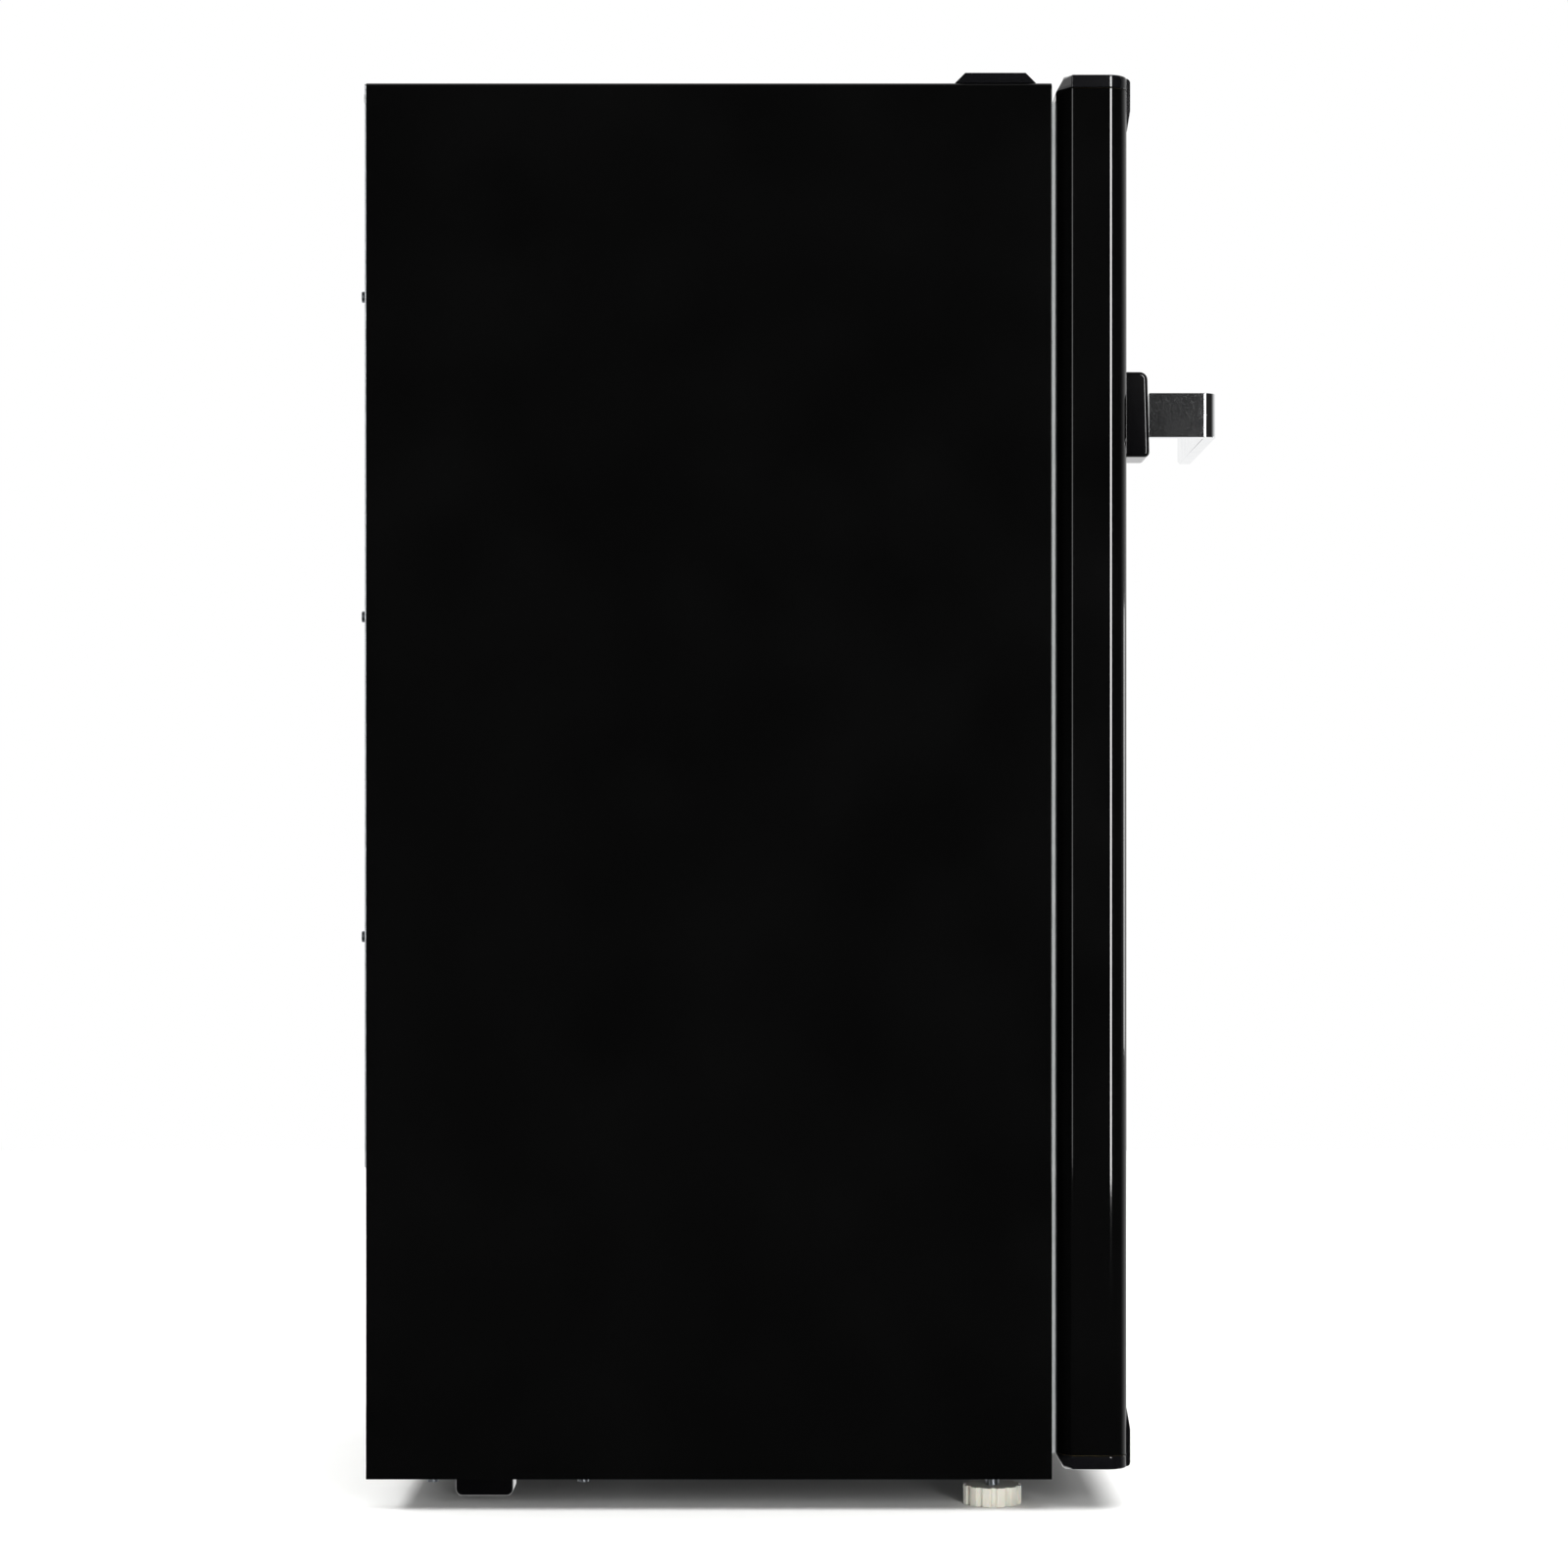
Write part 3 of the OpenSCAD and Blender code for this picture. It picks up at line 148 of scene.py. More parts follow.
def closed():
    """Ends edit mode on the open object, with all normals turned outward."""
    bpy.ops.mesh.select_all(action="SELECT")
    bpy.ops.mesh.normals_make_consistent(inside=False)
    bpy.ops.object.mode_set(mode="OBJECT")

# %% Starting shapes and common operations
def start_block(name, low, high):
    """A block between two corners, the start of a modelled piece."""
    low, high = Vector(low) * MM, Vector(high) * MM
    bpy.ops.object.select_all(action="DESELECT")
    bpy.ops.mesh.primitive_cube_add(size=1, location=(low + high) / 2, scale=high - low)
    obj = bpy.context.object
    obj.name = obj.data.name = name
    bpy.ops.object.transform_apply(location=True, rotation=True, scale=True)
    return obj


def round_edges(obj, radius, steps, test):
    """Rounds the edges for which test says yes, if there are any."""
    if choose(obj, "EDGE", test):
        bpy.ops.mesh.bevel(offset=radius * MM, offset_type="OFFSET", segments=steps,
                           affect="EDGES", clamp_overlap=True)


def score(obj, axis, place):
    """Divides every face where a plane across the axis X, Y or Z meets it."""
    spot, direction = Vector(), Vector()
    spot["XYZ".index(axis)], direction["XYZ".index(axis)] = place * MM, 1
    choose(obj, "FACE", lambda c, n: True)
    bpy.ops.mesh.bisect(plane_co=spot, plane_no=direction)


def merge_flat():
    """Makes one face of all that lie in one plane, in the object that is open."""
    bpy.ops.mesh.select_all(action="SELECT")
    bpy.ops.mesh.dissolve_limited(angle_limit=math.radians(1))


def extrude(vector):
    """Pulls the selected faces out by a vector in millimetres."""
    bpy.ops.mesh.extrude_region_move(TRANSFORM_OT_translate={"value": Vector(vector) * MM})


def move(vector):
    """Moves what is selected by a vector in millimetres."""
    bpy.ops.transform.translate(value=Vector(vector) * MM)


def inset(width, depth=0.0):
    """Draws a border inside the selected faces, and raises or sinks the field within it."""
    bpy.ops.mesh.inset(thickness=width * MM, depth=depth * MM, use_even_offset=True)


def finish_with(obj, kind, **settings):
    """Adds a modifier, sets it and applies it."""
    only(obj)
    modifier = obj.modifiers.new(kind.title(), kind)
    for name, value in settings.items():
        setattr(modifier, name, value)
    bpy.ops.object.modifier_apply(modifier=modifier.name)


def soften(obj, width, steps=2, angle=30):
    """Breaks every sharp edge with a small radius, as a mould or a press leaves it."""
    finish_with(obj, "BEVEL", width=width * MM, segments=steps, limit_method="ANGLE",
                angle_limit=math.radians(angle), use_clamp_overlap=True, harden_normals=False)


def settle(obj, material, *nodes, body=None, angle=35):
    """Shades a finished piece, gives it its material and lets it stand for its CAD nodes.
    Weighted normals keep large faces truly flat, so reflections on them don't warp."""
    only(obj)
    bpy.ops.object.shade_smooth_by_angle(angle=math.radians(angle))
    finish_with(obj, "WEIGHTED_NORMAL", keep_sharp=True, weight=60)
    obj.data.materials.clear()
    obj.data.materials.append(material)
    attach(obj, body or body_of[nodes[0]])
    if nodes:
        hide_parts(*nodes)
    return obj


def box_mm(node):
    """The two far corners of a CAD part in millimetres."""
    low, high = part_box(node)
    return low / MM, high / MM

print("tools ready")

# %% [markdown]
# ## Camera
# The refrigerator is seen square on from its left side, from about two metres, with the lens
# level and a little below the middle of the cabinet. The small upward shift keeps the upright
# edges upright, as an architect's lens does, where tilting the camera would make them lean.

# %% Camera
scene = bpy.context.scene
lens = bpy.data.cameras.new("side_camera")
lens.sensor_width = 36
lens.lens = 83.5
lens.shift_y = 0.0625
lens.clip_start = 0.05
lens.clip_end = 60
camera = bpy.data.objects.new("side_camera", lens)
camera.location = (-2.3225, 0.0048, 0.363)
camera.rotation_euler = (math.radians(90), 0, math.radians(-90))
scene.collection.objects.link(camera)
scene.camera = camera
scene.view_settings.view_transform = "Standard"
print("camera at", [round(v, 3) for v in camera.location])

# %% [markdown]
# ## Studio
# Glossy black shows nothing but what it reflects, so the studio is laid out by direction. The
# side behind the camera is dark and keeps the flat side panel black. The far side is white and
# rims the bends. Two tall strip lights draw the thin bright lines along the upright bends. A
# small window light stands in front, below the height of the cabinet's top, so the top can't
# mirror it. A wide soft light overhead makes the pale floor white and fills the open cabinet.

# %% One helper for nodes
def add(tree, kind, inputs=None, **settings):
    """Adds a node. Settings go to its properties, inputs to its sockets as a value or a link."""
    node = tree.nodes.new(kind)
    for name, value in settings.items():
        setattr(node, name, value)
    for name, value in (inputs or {}).items():
        if isinstance(value, bpy.types.NodeSocket):
            tree.links.new(value, node.inputs[name])
        else:
            node.inputs[name].default_value = value
    return node

# %% World
world = bpy.data.worlds.new("studio")
scene.world = world
world.use_nodes = True
tree = world.node_tree
tree.nodes.clear()
direction = add(tree, "ShaderNodeTexCoord").outputs["Generated"]
across = add(tree, "ShaderNodeSeparateXYZ", {0: direction}).outputs["X"]
far_side = add(tree, "ShaderNodeMapRange", {"Value": across, "From Min": -0.25, "From Max": 0.9,
                                            "To Min": 0.018, "To Max": 0.95},
               interpolation_type="SMOOTHSTEP").outputs[0]
lit = add(tree, "ShaderNodeBackground", {"Color": (1, 1, 1, 1), "Strength": far_side})
seen = add(tree, "ShaderNodeBackground", {"Color": (1, 1, 1, 1), "Strength": 1.0})
eye = add(tree, "ShaderNodeLightPath").outputs["Is Camera Ray"]
both = add(tree, "ShaderNodeMixShader", {0: eye, 1: lit.outputs[0], 2: seen.outputs[0]})
add(tree, "ShaderNodeOutputWorld", {"Surface": both.outputs[0]})
print("world nodes:", len(tree.nodes))

# %% Lights
def panel_light(name, place, target, size, power, mirrored=True):
    """A rectangular soft light that faces target; unmirrored ones light without being reflected."""
    data = bpy.data.lights.new(name, "AREA")
    data.shape = "RECTANGLE"
    data.size, data.size_y = size
    data.energy = power
    light = bpy.data.objects.new(name, data)
    light.location = place
    light.rotation_euler = (Vector(target) - Vector(place)).to_track_quat("-Z", "Y").to_euler()
    light.visible_camera = False
    light.visible_glossy = mirrored
    scene.collection.objects.link(light)


def around(degrees, distance, height):
    """A place seen from the refrigerator at an angle from -X towards -Y."""
    a = math.radians(degrees)
    return (-math.cos(a) * distance, -math.sin(a) * distance, height)


panel_light("door_strip", around(17.2, 4.0, 1.0), (-0.2, -0.1, 0.5), (0.62, 2.3), 92)
panel_light("rear_strip", around(-46, 3.4, 1.1), (-0.2, 0.1, 0.5), (0.9, 2.4), 26)
panel_light("overhead", (0, -0.3, 3.2), (0, -0.3, 0), (5.0, 5.0), 330, mirrored=False)
panel_light("front_fill", (0.4, -3.4, 1.9), (0, 0, 0.45), (2.4, 1.8), 30, mirrored=False)
panel_light("front_window", (1.5, -3.6, 0.45), (0, -0.1, 0.45), (0.7, 0.72), 9)

# %% [markdown]
# ## Finishes
# Each finish answers two questions: how the real one is made, and what that leaves on the
# surface. Paint flows before it cures and keeps a faint orange peel. Moulded plastic copies the
# spark texture of its mould. Zinc freezes on steel in flat crystals. All of it can be built from
# noise on Object coordinates, which are metres here, so a pattern's size is given in millimetres
# and stays right on every piece, large or small.

# %% Colours and the start of a material
def linear(colour):
    """The linear light values of a hex colour as seen on a screen."""
    values = [int(colour[i:i + 2], 16) / 255 for i in (0, 2, 4)]
    straight = [v / 12.92 if v <= 0.04045 else ((v + 0.055) / 1.055) ** 2.4 for v in values]
    return (*straight, 1.0)


def start_material(name, **shader_values):
    """A new material, its node tree, its shader and its Object coordinates."""
    material = bpy.data.materials.new(name)
    material.use_nodes = True
    tree = material.node_tree
    shader = tree.nodes["Principled BSDF"]
    for key, value in shader_values.items():
        shader.inputs[key.replace("_", " ")].default_value = value
    place = add(tree, "ShaderNodeTexCoord").outputs["Object"]
    return material, tree, shader, place


def noise(tree, place, size, detail=2.0, stretch=None):
    """Soft noise with features about size millimetres across, drawn out along an axis if wanted."""
    if stretch:
        place = add(tree, "ShaderNodeMapping", {"Vector": place, "Scale": stretch}).outputs[0]
    return add(tree, "ShaderNodeTexNoise", {"Vector": place, "Scale": 1 / (size * MM),
                                            "Detail": detail}).outputs[0]


def between(tree, factor, low, high, start=0.3, end=0.7):
    """A number that runs from low to high as a pattern runs through its middle range."""
    return add(tree, "ShaderNodeMapRange", {"Value": factor, "From Min": start, "From Max": end,
                                            "To Min": low, "To Max": high}).outputs[0]


def mix(tree, factor, first, second):
    """Two colours, given as hex or as a socket, mixed by a pattern."""
    first, second = (linear(c) if isinstance(c, str) else c for c in (first, second))
    return add(tree, "ShaderNodeMix", {0: factor, 6: first, 7: second}, data_type="RGBA").outputs[2]


def relief(tree, shader, height, depth):
    """Turns a pattern into surface relief, depth millimetres deep."""
    bump = add(tree, "ShaderNodeBump", {"Height": height, "Distance": depth * MM, "Strength": 1.0})
    tree.links.new(bump.outputs[0], shader.inputs["Normal"])

# %% A solid finish: the base of paints and plastics
def solid(name, colour, shade, rough, grain, depth, cloud=70, spread=0.04, **shader_values):
    """One colour drifting to a near shade in soft clouds, roughness drifting too, fine relief."""
    material, tree, shader, place = start_material(name, **shader_values)
    clouds = noise(tree, place, cloud, 5)
    tone = mix(tree, between(tree, clouds, 0, 1), colour, shade)
    tree.links.new(tone, shader.inputs["Base Color"])
    roughness = between(tree, clouds, rough - spread, rough + spread)
    tree.links.new(roughness, shader.inputs["Roughness"])
    relief(tree, shader, noise(tree, place, grain), depth)
    return material

# Steel coil painted before it is bent: black polyester enamel, very smooth, faint orange peel.
enamel = solid("black_polyester_enamel_on_steel", "030303", "050505", 0.05, 2.6, 0.003,
               spread=0.012)
# End caps and hinge covers: injection-moulded black ABS with a fine spark texture.
abs_black = solid("moulded_black_abs", "08080A", "0C0C0E", 0.11, 0.55, 0.006, spread=0.04)
# Handle base: the same resin from a polished mould.
abs_gloss = solid("polished_black_abs", "050506", "080809", 0.07, 1.6, 0.002, spread=0.02)
# Hinges and compressor shelf: stamped steel with satin black powder coat.
powder = solid("satin_black_powder_coat", "121315", "191A1C", 0.46, 1.1, 0.022)
# Compressor shell: thick dipped black paint, uneven and slightly dusty.
dipped = solid("dipped_black_paint", "0D0D0E", "1B1B1B", 0.34, 6.0, 0.05, cloud=45, spread=0.12)
# Liner: vacuum-formed white polystyrene, glossy on the side away from the mould.
hips = solid("vacuum_formed_white_polystyrene", "E9EBEA", "E1E4E4", 0.24, 3.4, 0.012, spread=0.05)
# Trays, ice box door and housings: injection-moulded white polystyrene, fine grain.
white_moulded = solid("moulded_white_polystyrene", "E6E9E9", "DDE1E1", 0.36, 0.6, 0.008)
# Levelling feet and bushes: natural nylon, waxy and slightly translucent.
nylon = solid("natural_nylon", "DBD8CC", "CFCBBC", 0.42, 0.7, 0.012, Subsurface_Weight=0.15,
              Subsurface_Scale=0.004)
# Door seal: extruded soft vinyl, dull, with a bloom of plasticiser.
vinyl = solid("extruded_grey_vinyl", "A9ABAB", "9A9D9D", 0.55, 0.9, 0.010, cloud=30)
# Rear feet, grommets and cord gland: moulded rubber, dull and a little chalky.
rubber = solid("moulded_black_rubber", "0C0C0C", "171716", 0.68, 0.5, 0.020, cloud=18)
# Insulation: sprayed rigid polyurethane foam, a skin of small closed cells.
foam = solid("rigid_polyurethane_foam", "D8C58A", "BFA766", 0.85, 1.8, 0.35, cloud=25)
# Magnet strip inside the seal: ferrite powder in rubber.
ferrite = solid("ferrite_rubber_magnet", "2A2725", "35312E", 0.6, 0.7, 0.01)
print("solid finishes:", len(bpy.data.materials))

# %% [markdown]
# ### Metals and clear parts
# Metals differ by how they were worked. Galvanised sheet shows flat crystals, each of one tone,
# which a cell pattern gives at once. Rolled aluminium and drawn copper keep fine lines along
# the working direction, so their noise is stretched. Clear parts are left almost without colour
# and get their look from light passing through.

# %% Galvanised, rolled, drawn and plated metals
def metal(name, colour, shade, rough, grain, depth, stretch=None, cloud=35, spread=0.08):
    """A bare metal with working marks and a slow change of tone."""
    material, tree, shader, place = start_material(name, Metallic=1.0)
    clouds = noise(tree, place, cloud, 6)
    lines = noise(tree, place, grain, 3, stretch)
    tone = mix(tree, between(tree, clouds, 0, 1), colour, shade)
    tree.links.new(tone, shader.inputs["Base Color"])
    tree.links.new(between(tree, lines, rough - spread, rough + spread), shader.inputs["Roughness"])
    relief(tree, shader, lines, depth)
    return material


galvanised, tree, shader, place = start_material("hot_dip_galvanised_sheet", Metallic=1.0)
crystals = add(tree, "ShaderNodeTexVoronoi", {"Vector": place, "Scale": 120.0})
tone = add(tree, "ShaderNodeSeparateColor", {0: crystals.outputs["Color"]}).outputs[0]
dull = noise(tree, place, 50, 6)
flat_tone = mix(tree, tone, "B4B8BA", "C3C7C9")
dulled = mix(tree, between(tree, dull, 0, 0.45), flat_tone, "BABDBF")
tree.links.new(dulled, shader.inputs["Base Color"])
tree.links.new(between(tree, tone, 0.42, 0.50, 0, 1), shader.inputs["Roughness"])
relief(tree, shader, crystals.outputs["Distance"], 0.004)

# Ice box: rolled aluminium sheet with lines along its length.
aluminium = metal("rolled_aluminium_sheet", "B9BCBE", "A7AAAD", 0.30, 0.5, 0.004, (0.03, 1, 1))
# Tubes of the cooling circuit: drawn copper, tarnished in patches.
copper = metal("drawn_copper_tube", "B4653A", "7E4630", 0.36, 0.8, 0.006, cloud=18, spread=0.12)
# Screws, bolts and studs: zinc plate with a pale blue passivation.
zinc = metal("blue_passivated_zinc_plate", "A6AAAF", "8F949A", 0.33, 0.35, 0.006, cloud=4)
# Handle lever: polished bar with chrome plate.
chrome = metal("polished_chrome_plate", "F2F3F4", "E6E8EA", 0.05, 0.9, 0.0005, cloud=12,
               spread=0.02)

# %% Clear parts
def clear(name, colour, rough, ior, grain):
    """A see-through material with a trace of colour and faint handling marks."""
    material, tree, shader, place = start_material(name, Transmission_Weight=1.0, IOR=ior)
    smears = noise(tree, place, grain, 5)
    shader.inputs["Base Color"].default_value = linear(colour)
    roughness = between(tree, smears, rough, rough + 0.07, 0.5, 0.75)
    tree.links.new(roughness, shader.inputs["Roughness"])
    relief(tree, shader, smears, 0.004)
    return material

# Racks and drawer: injection-moulded clear polystyrene with a blue tint.
crystal = clear("moulded_clear_polystyrene", "DCEBEF", 0.03, 1.58, 40)
# Shelves: toughened soda-lime glass, faintly green.
toughened = clear("toughened_soda_lime_glass", "E3F1EA", 0.01, 1.52, 60)

finish_of = {"black_enamel": enamel, "black_plastic": abs_black, "grey_sheet": galvanised,
             "black_steel": powder, "foam": foam, "white_liner": hips, "copper": copper,
             "zinc": zinc, "black_rubber": rubber, "seal_vinyl": vinyl, "magnet": ferrite,
             "clear_plastic": crystal, "white_plastic": white_moulded, "glass": toughened,
             "aluminium_sheet": aluminium, "chrome": chrome, "nylon": nylon}
slot_of = {part["node"]: part["material_slot"] for part in frame["record"]["subparts"]}
for name, part in cad.items():
    part.data.materials.clear()
    part.data.materials.append(finish_of[slot_of[name]])
cad["compressor"].data.materials[0] = dipped
print("finishes:", len(bpy.data.materials))

# %% [markdown]
# ## Floor
# A studio floor is a sheet of matt paper. It is a plain plane here, and it isn't part of the
# refrigerator. It stays out of reflections, so the black panels keep their depth.

# %% Floor
bpy.ops.object.select_all(action="DESELECT")
bpy.ops.mesh.primitive_plane_add(size=5.2, location=(0, 0, -0.0002))
floor = bpy.context.object
floor.name = "studio_floor"
bpy.ops.object.transform_apply(location=True, rotation=True, scale=True)
paper = solid("matt_white_studio_paper", "F4F4F2", "EFEFEE", 0.9, 4, 0.02, cloud=400)
floor.data.materials.append(paper)
floor.visible_glossy = False
floor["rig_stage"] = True
print("floor is", floor.dimensions[0], "m wide")

# %% [markdown]
# ## Cabinet wrapper
# The outside of the cabinet is one sheet of painted steel folded into a U, with its front edge
# turned in as a flange that the door seal closes on. It could be carved from a block with
# booleans. Folding is closer to the real thing: a block loses the faces that aren't there, the
# flange comes from an inset, the folds are rounded, and thickness is added last.

# %% Fold the wrapper
low, high = box_mm("cabinet_shell")
side, front, under, top = high.x, low.y, low.z, high.z
steel, flange, fold, lip = 0.8, 27, 4, 1.6
wrapper = start_block("cabinet_wrapper", low, high)
choose(wrapper, "FACE", lambda c, n: n.y > 0.9 or n.z < -0.9)
bpy.ops.mesh.delete(type="FACE")
choose(wrapper, "FACE", lambda c, n: n.y < -0.9)
inset(flange)
bpy.ops.mesh.delete(type="FACE")
round_edges(wrapper, fold, 5, lambda c, d: near(abs(c.x), side) and near(c.z, top))
round_edges(wrapper, lip, 4, lambda c, d: near(c.y, front) and c.z > under + 1
            and (abs(c.x) > side - fold - 0.5 or c.z > top - fold - 0.5)
            and not (abs(d.x) > 0.9 and c.z < top - fold - 1))
bpy.ops.object.mode_set(mode="OBJECT")
finish_with(wrapper, "SOLIDIFY", thickness=steel * MM, offset=-1, use_even_offset=True)
settle(wrapper, enamel, "cabinet_shell")
print("wrapper width:", round(wrapper.dimensions.x / MM, 2), "faces:", len(wrapper.data.polygons))

# %% [markdown]
# ## Back panel
# The back is a plain galvanised sheet with a pressed field that keeps it from drumming. Two
# insets in a thin block give the pressed step.

# %% Press the back panel
low, high = box_mm("back_panel")
border, step_width, step_depth = 26, 5, 0.5
back_sheet = start_block("pressed_back_panel", low, high)
choose(back_sheet, "FACE", lambda c, n: n.y > 0.9)
inset(border)
inset(step_width, -step_depth)
closed()
soften(back_sheet, 0.25, 2, 20)
settle(back_sheet, galvanised, "back_panel")
print("back panel faces:", len(back_sheet.data.polygons))

# %% [markdown]
# ## Door skin and end caps
# The door's outside is a second folded sheet: flat front, two round bends, flat sides and a
# bevel towards the seal. A moulded cap closes each end, and its apron reaches over the skin. All
# three share one plan, so one helper makes a blank of that plan between two heights, and each
# piece is then worked from its own blank.

# %% The door's plan as a blank
low, high = box_mm("door_skin")
door_front, door_rear, seam_low, seam_high = low.y, high.y, low.z, high.z
door_low, door_high = box_mm("door_bottom_cap")[0].z, box_mm("door_top_cap")[1].z
bevel_in, bevel_deep, bend, seam_gap = 12.0, 8.6, 11.0, 0.15


def door_blank(name, z0, z1, rounded=True):
    """A block with the door's plan; rounded softens its two rear corners on each side."""
    blank = start_block(name, (-side, door_front, z0), (side, door_rear - bevel_deep, z1))
    choose(blank, "FACE", lambda c, n: n.y > 0.9)
    extrude((0, bevel_deep, 0))
    bpy.ops.transform.resize(value=((side - bevel_in) / side, 1, 1), center_override=(0, 0, 0))
    round_edges(blank, bend, 14, lambda c, d: near(c.y, door_front) and abs(d.z) > 0.9)
    if rounded:
        bevel_start = door_rear - bevel_deep
        round_edges(blank, 1.4, 4, lambda c, d: near(c.y, bevel_start) and abs(d.z) > 0.9)
        round_edges(blank, 0.9, 3, lambda c, d: near(c.y, door_rear) and abs(d.z) > 0.9)
    return blank


skin = door_blank("door_outer_skin", seam_low + seam_gap, seam_high - seam_gap)
choose(skin, "FACE", lambda c, n: abs(n.z) > 0.9 or n.y > 0.99)
bpy.ops.mesh.delete(type="FACE")
bpy.ops.object.mode_set(mode="OBJECT")
finish_with(skin, "SOLIDIFY", thickness=steel * MM, offset=-1, use_even_offset=True)
settle(skin, enamel, "door_skin", angle=20)
print("door skin width:", round(skin.dimensions.x / MM, 2), "faces:", len(skin.data.polygons))

# %% End caps with sloping rims and aprons
def cut_with(obj, low, high, operation="DIFFERENCE"):
    """Cuts a closed piece with a block, or keeps what is inside the block."""
    tool = start_block("tool", low, high)
    finish_with(obj, "BOOLEAN", object=tool, operation=operation, solver="EXACT")
    bpy.data.objects.remove(tool)


def join(first, *others):
    """Joins loose pieces into one object."""
    only(first)
    for other in others:
        other.select_set(True)
    bpy.ops.object.join()


def copied(obj, name):
    """A second object with its own mesh."""
    twin = bpy.data.objects.new(name, obj.data.copy())
    scene.collection.objects.link(twin)
    return twin


crown, crown_inset, crown_back, rim_forward = 1.8, 9.6, 5.0, 4.3
apron_out, apron_taper, apron_slope, top_reach, bottom_reach = 2.2, 12, 2.0, 23, 26


def end_cap(name, seam, outer, apron_end, up):
    """A cap from its seam to its outer face; up is 1 for the top and -1 for the bottom."""
    rim = outer - up * crown
    cap = door_blank(name, *sorted((seam, rim)), rounded=False)
    choose(cap, "FACE", lambda c, n: n.z * up > 0.9)
    inset(crown_inset)
    move((0, 0, up * crown))
    choose(cap, "VERT", lambda c, n: near(c.z, outer) and c.y > door_rear - 12)
    move((0, crown_back, 0))
    choose(cap, "VERT", lambda c, n: near(c.z, rim) and c.y > door_rear - 1.5)
    move((0, -rim_forward, 0))
    closed()
    soften(cap, 0.9, 3, 28)
    start, end = sorted((rim, apron_end))
    taper_start = apron_end + up * apron_taper
    apron = start_block(name + "_apron", (-side + bend, door_front - apron_out, start),
                        (side - bend, door_front + 0.6, end))
    score(apron, "Z", taper_start)
    choose(apron, "VERT", lambda c, n: near(c.z, apron_end) and c.y < door_front - 1)
    move((0, apron_slope, 0))
    round_edges(apron, 2.4, 5, lambda c, d: near(c.z, rim) and c.y < door_front - 1
                and abs(d.x) > 0.9)
    round_edges(apron, 1.6, 4, lambda c, d: near(abs(c.x), side - bend)
                and c.y < door_front - 0.8 and abs(d.z) > 0.5)
    round_edges(apron, 6, 4, lambda c, d: near(c.z, taper_start, 0.4) and abs(d.x) > 0.9
                and c.y < door_front - 1)
    closed()
    return cap, apron


top_cap, top_apron = end_cap("top_end_cap", seam_high + seam_gap, door_high,
                             seam_high - top_reach, 1)
notch_floor, notch_front, notch_in = 824.0, -190.0, 200.9
notch_rear, above = -140, 840
plug = copied(top_cap, "hinge_place_plug")
cut_with(plug, (-side - 1, notch_front + seam_gap, notch_floor),
         (-notch_in - seam_gap, notch_rear, above), "INTERSECT")
for x0, x1 in ((-side - 1, -notch_in), (notch_in, side + 1)):
    cut_with(top_cap, (x0, notch_front, notch_floor), (x1, notch_rear, above))
holder_x, holder_front, holder_under = 209.5, -162, 816.4
seal_holder = start_block("seal_holder", (-holder_x, holder_front, holder_under),
                          (holder_x, door_rear - 0.2, seam_high + 0.2))
soften(seal_holder, 0.8)
join(top_cap, top_apron, seal_holder)
settle(top_cap, abs_black, "door_top_cap")
settle(plug, abs_black, "cap_plugs")
bottom_cap, bottom_apron = end_cap("bottom_end_cap", seam_low - seam_gap, door_low,
                                   seam_low + bottom_reach, -1)
join(bottom_cap, bottom_apron)
pin_x, pin_y, bush_r, bush_deep = 210.5, -175, 4, 6
for sign in (-1, 1):
    cut_with(bottom_cap, (sign * pin_x - bush_r, pin_y - bush_r, door_low - 1),
             (sign * pin_x + bush_r, pin_y + bush_r, door_low + bush_deep))
settle(bottom_cap, abs_black, "door_bottom_cap")
print("caps:", len(top_cap.data.polygons), len(bottom_cap.data.polygons), "faces")

# %% [markdown]
# ## Handle
# A moulded base is screwed to the door near its free edge. A plated lever stands out from it and
# turns along the door, so that fingers go behind it. The lever is one flat bar: a block is
# divided where the bar turns, the new arm is pulled out of its side, and the corner is rounded.

# %% Handle base
low, high = box_mm("handle_base")
top_lean = 1.3
base = start_block("handle_base_moulding", low, high)
choose(base, "VERT", lambda c, n: near(c.y, low.y) and c.z > high.z - 1)
move((0, top_lean, 0))
for edge_z, radius, steps in ((high.z, 4.5, 6), (low.z, 3.0, 5)):
    round_edges(base, radius, steps, lambda c, d: c.y < high.y - 1 and near(c.z, edge_z, 1)
                and abs(d.x) > 0.9)
round_edges(base, 2.2, 4, lambda c, d: c.y < high.y - 0.5 and abs(d.x) < 0.1
            and (near(c.x, low.x) or near(c.x, high.x)))
closed()
soften(base, 0.5, 2, 40)
settle(base, abs_gloss, "handle_base")
print("handle base faces:", len(base.data.polygons))

# %% Handle lever
low, high = box_mm("handle_lever")
thick, arm, tip, tip_height = 7.0, 7.0, 12, 0.78
lever = start_block("handle_lever_bar", (low.x, low.y, low.z), (low.x + thick, high.y, high.z))
score(lever, "Y", low.y + arm)
choose(lever, "FACE", lambda c, n: n.x > 0.9 and c.y < low.y + arm)
extrude((high.x - low.x - thick - tip, 0, 0))
extrude((tip, 0, 0))
bpy.ops.transform.resize(value=(1, 1, tip_height),
                         center_override=(0, 0, (low.z + high.z) / 2 * MM))
round_edges(lever, 9, 12, lambda c, d: near(c.x, low.x) and near(c.y, low.y) and abs(d.z) > 0.9)
round_edges(lever, 3, 6, lambda c, d: near(c.x, low.x + thick) and near(c.y, low.y + arm)
            and abs(d.z) > 0.9)
round_edges(lever, 2.6, 5, lambda c, d: near(c.x, high.x) and abs(d.z) > 0.9)
closed()
soften(lever, 1.5, 4, 38)
settle(lever, chrome, "handle_lever")
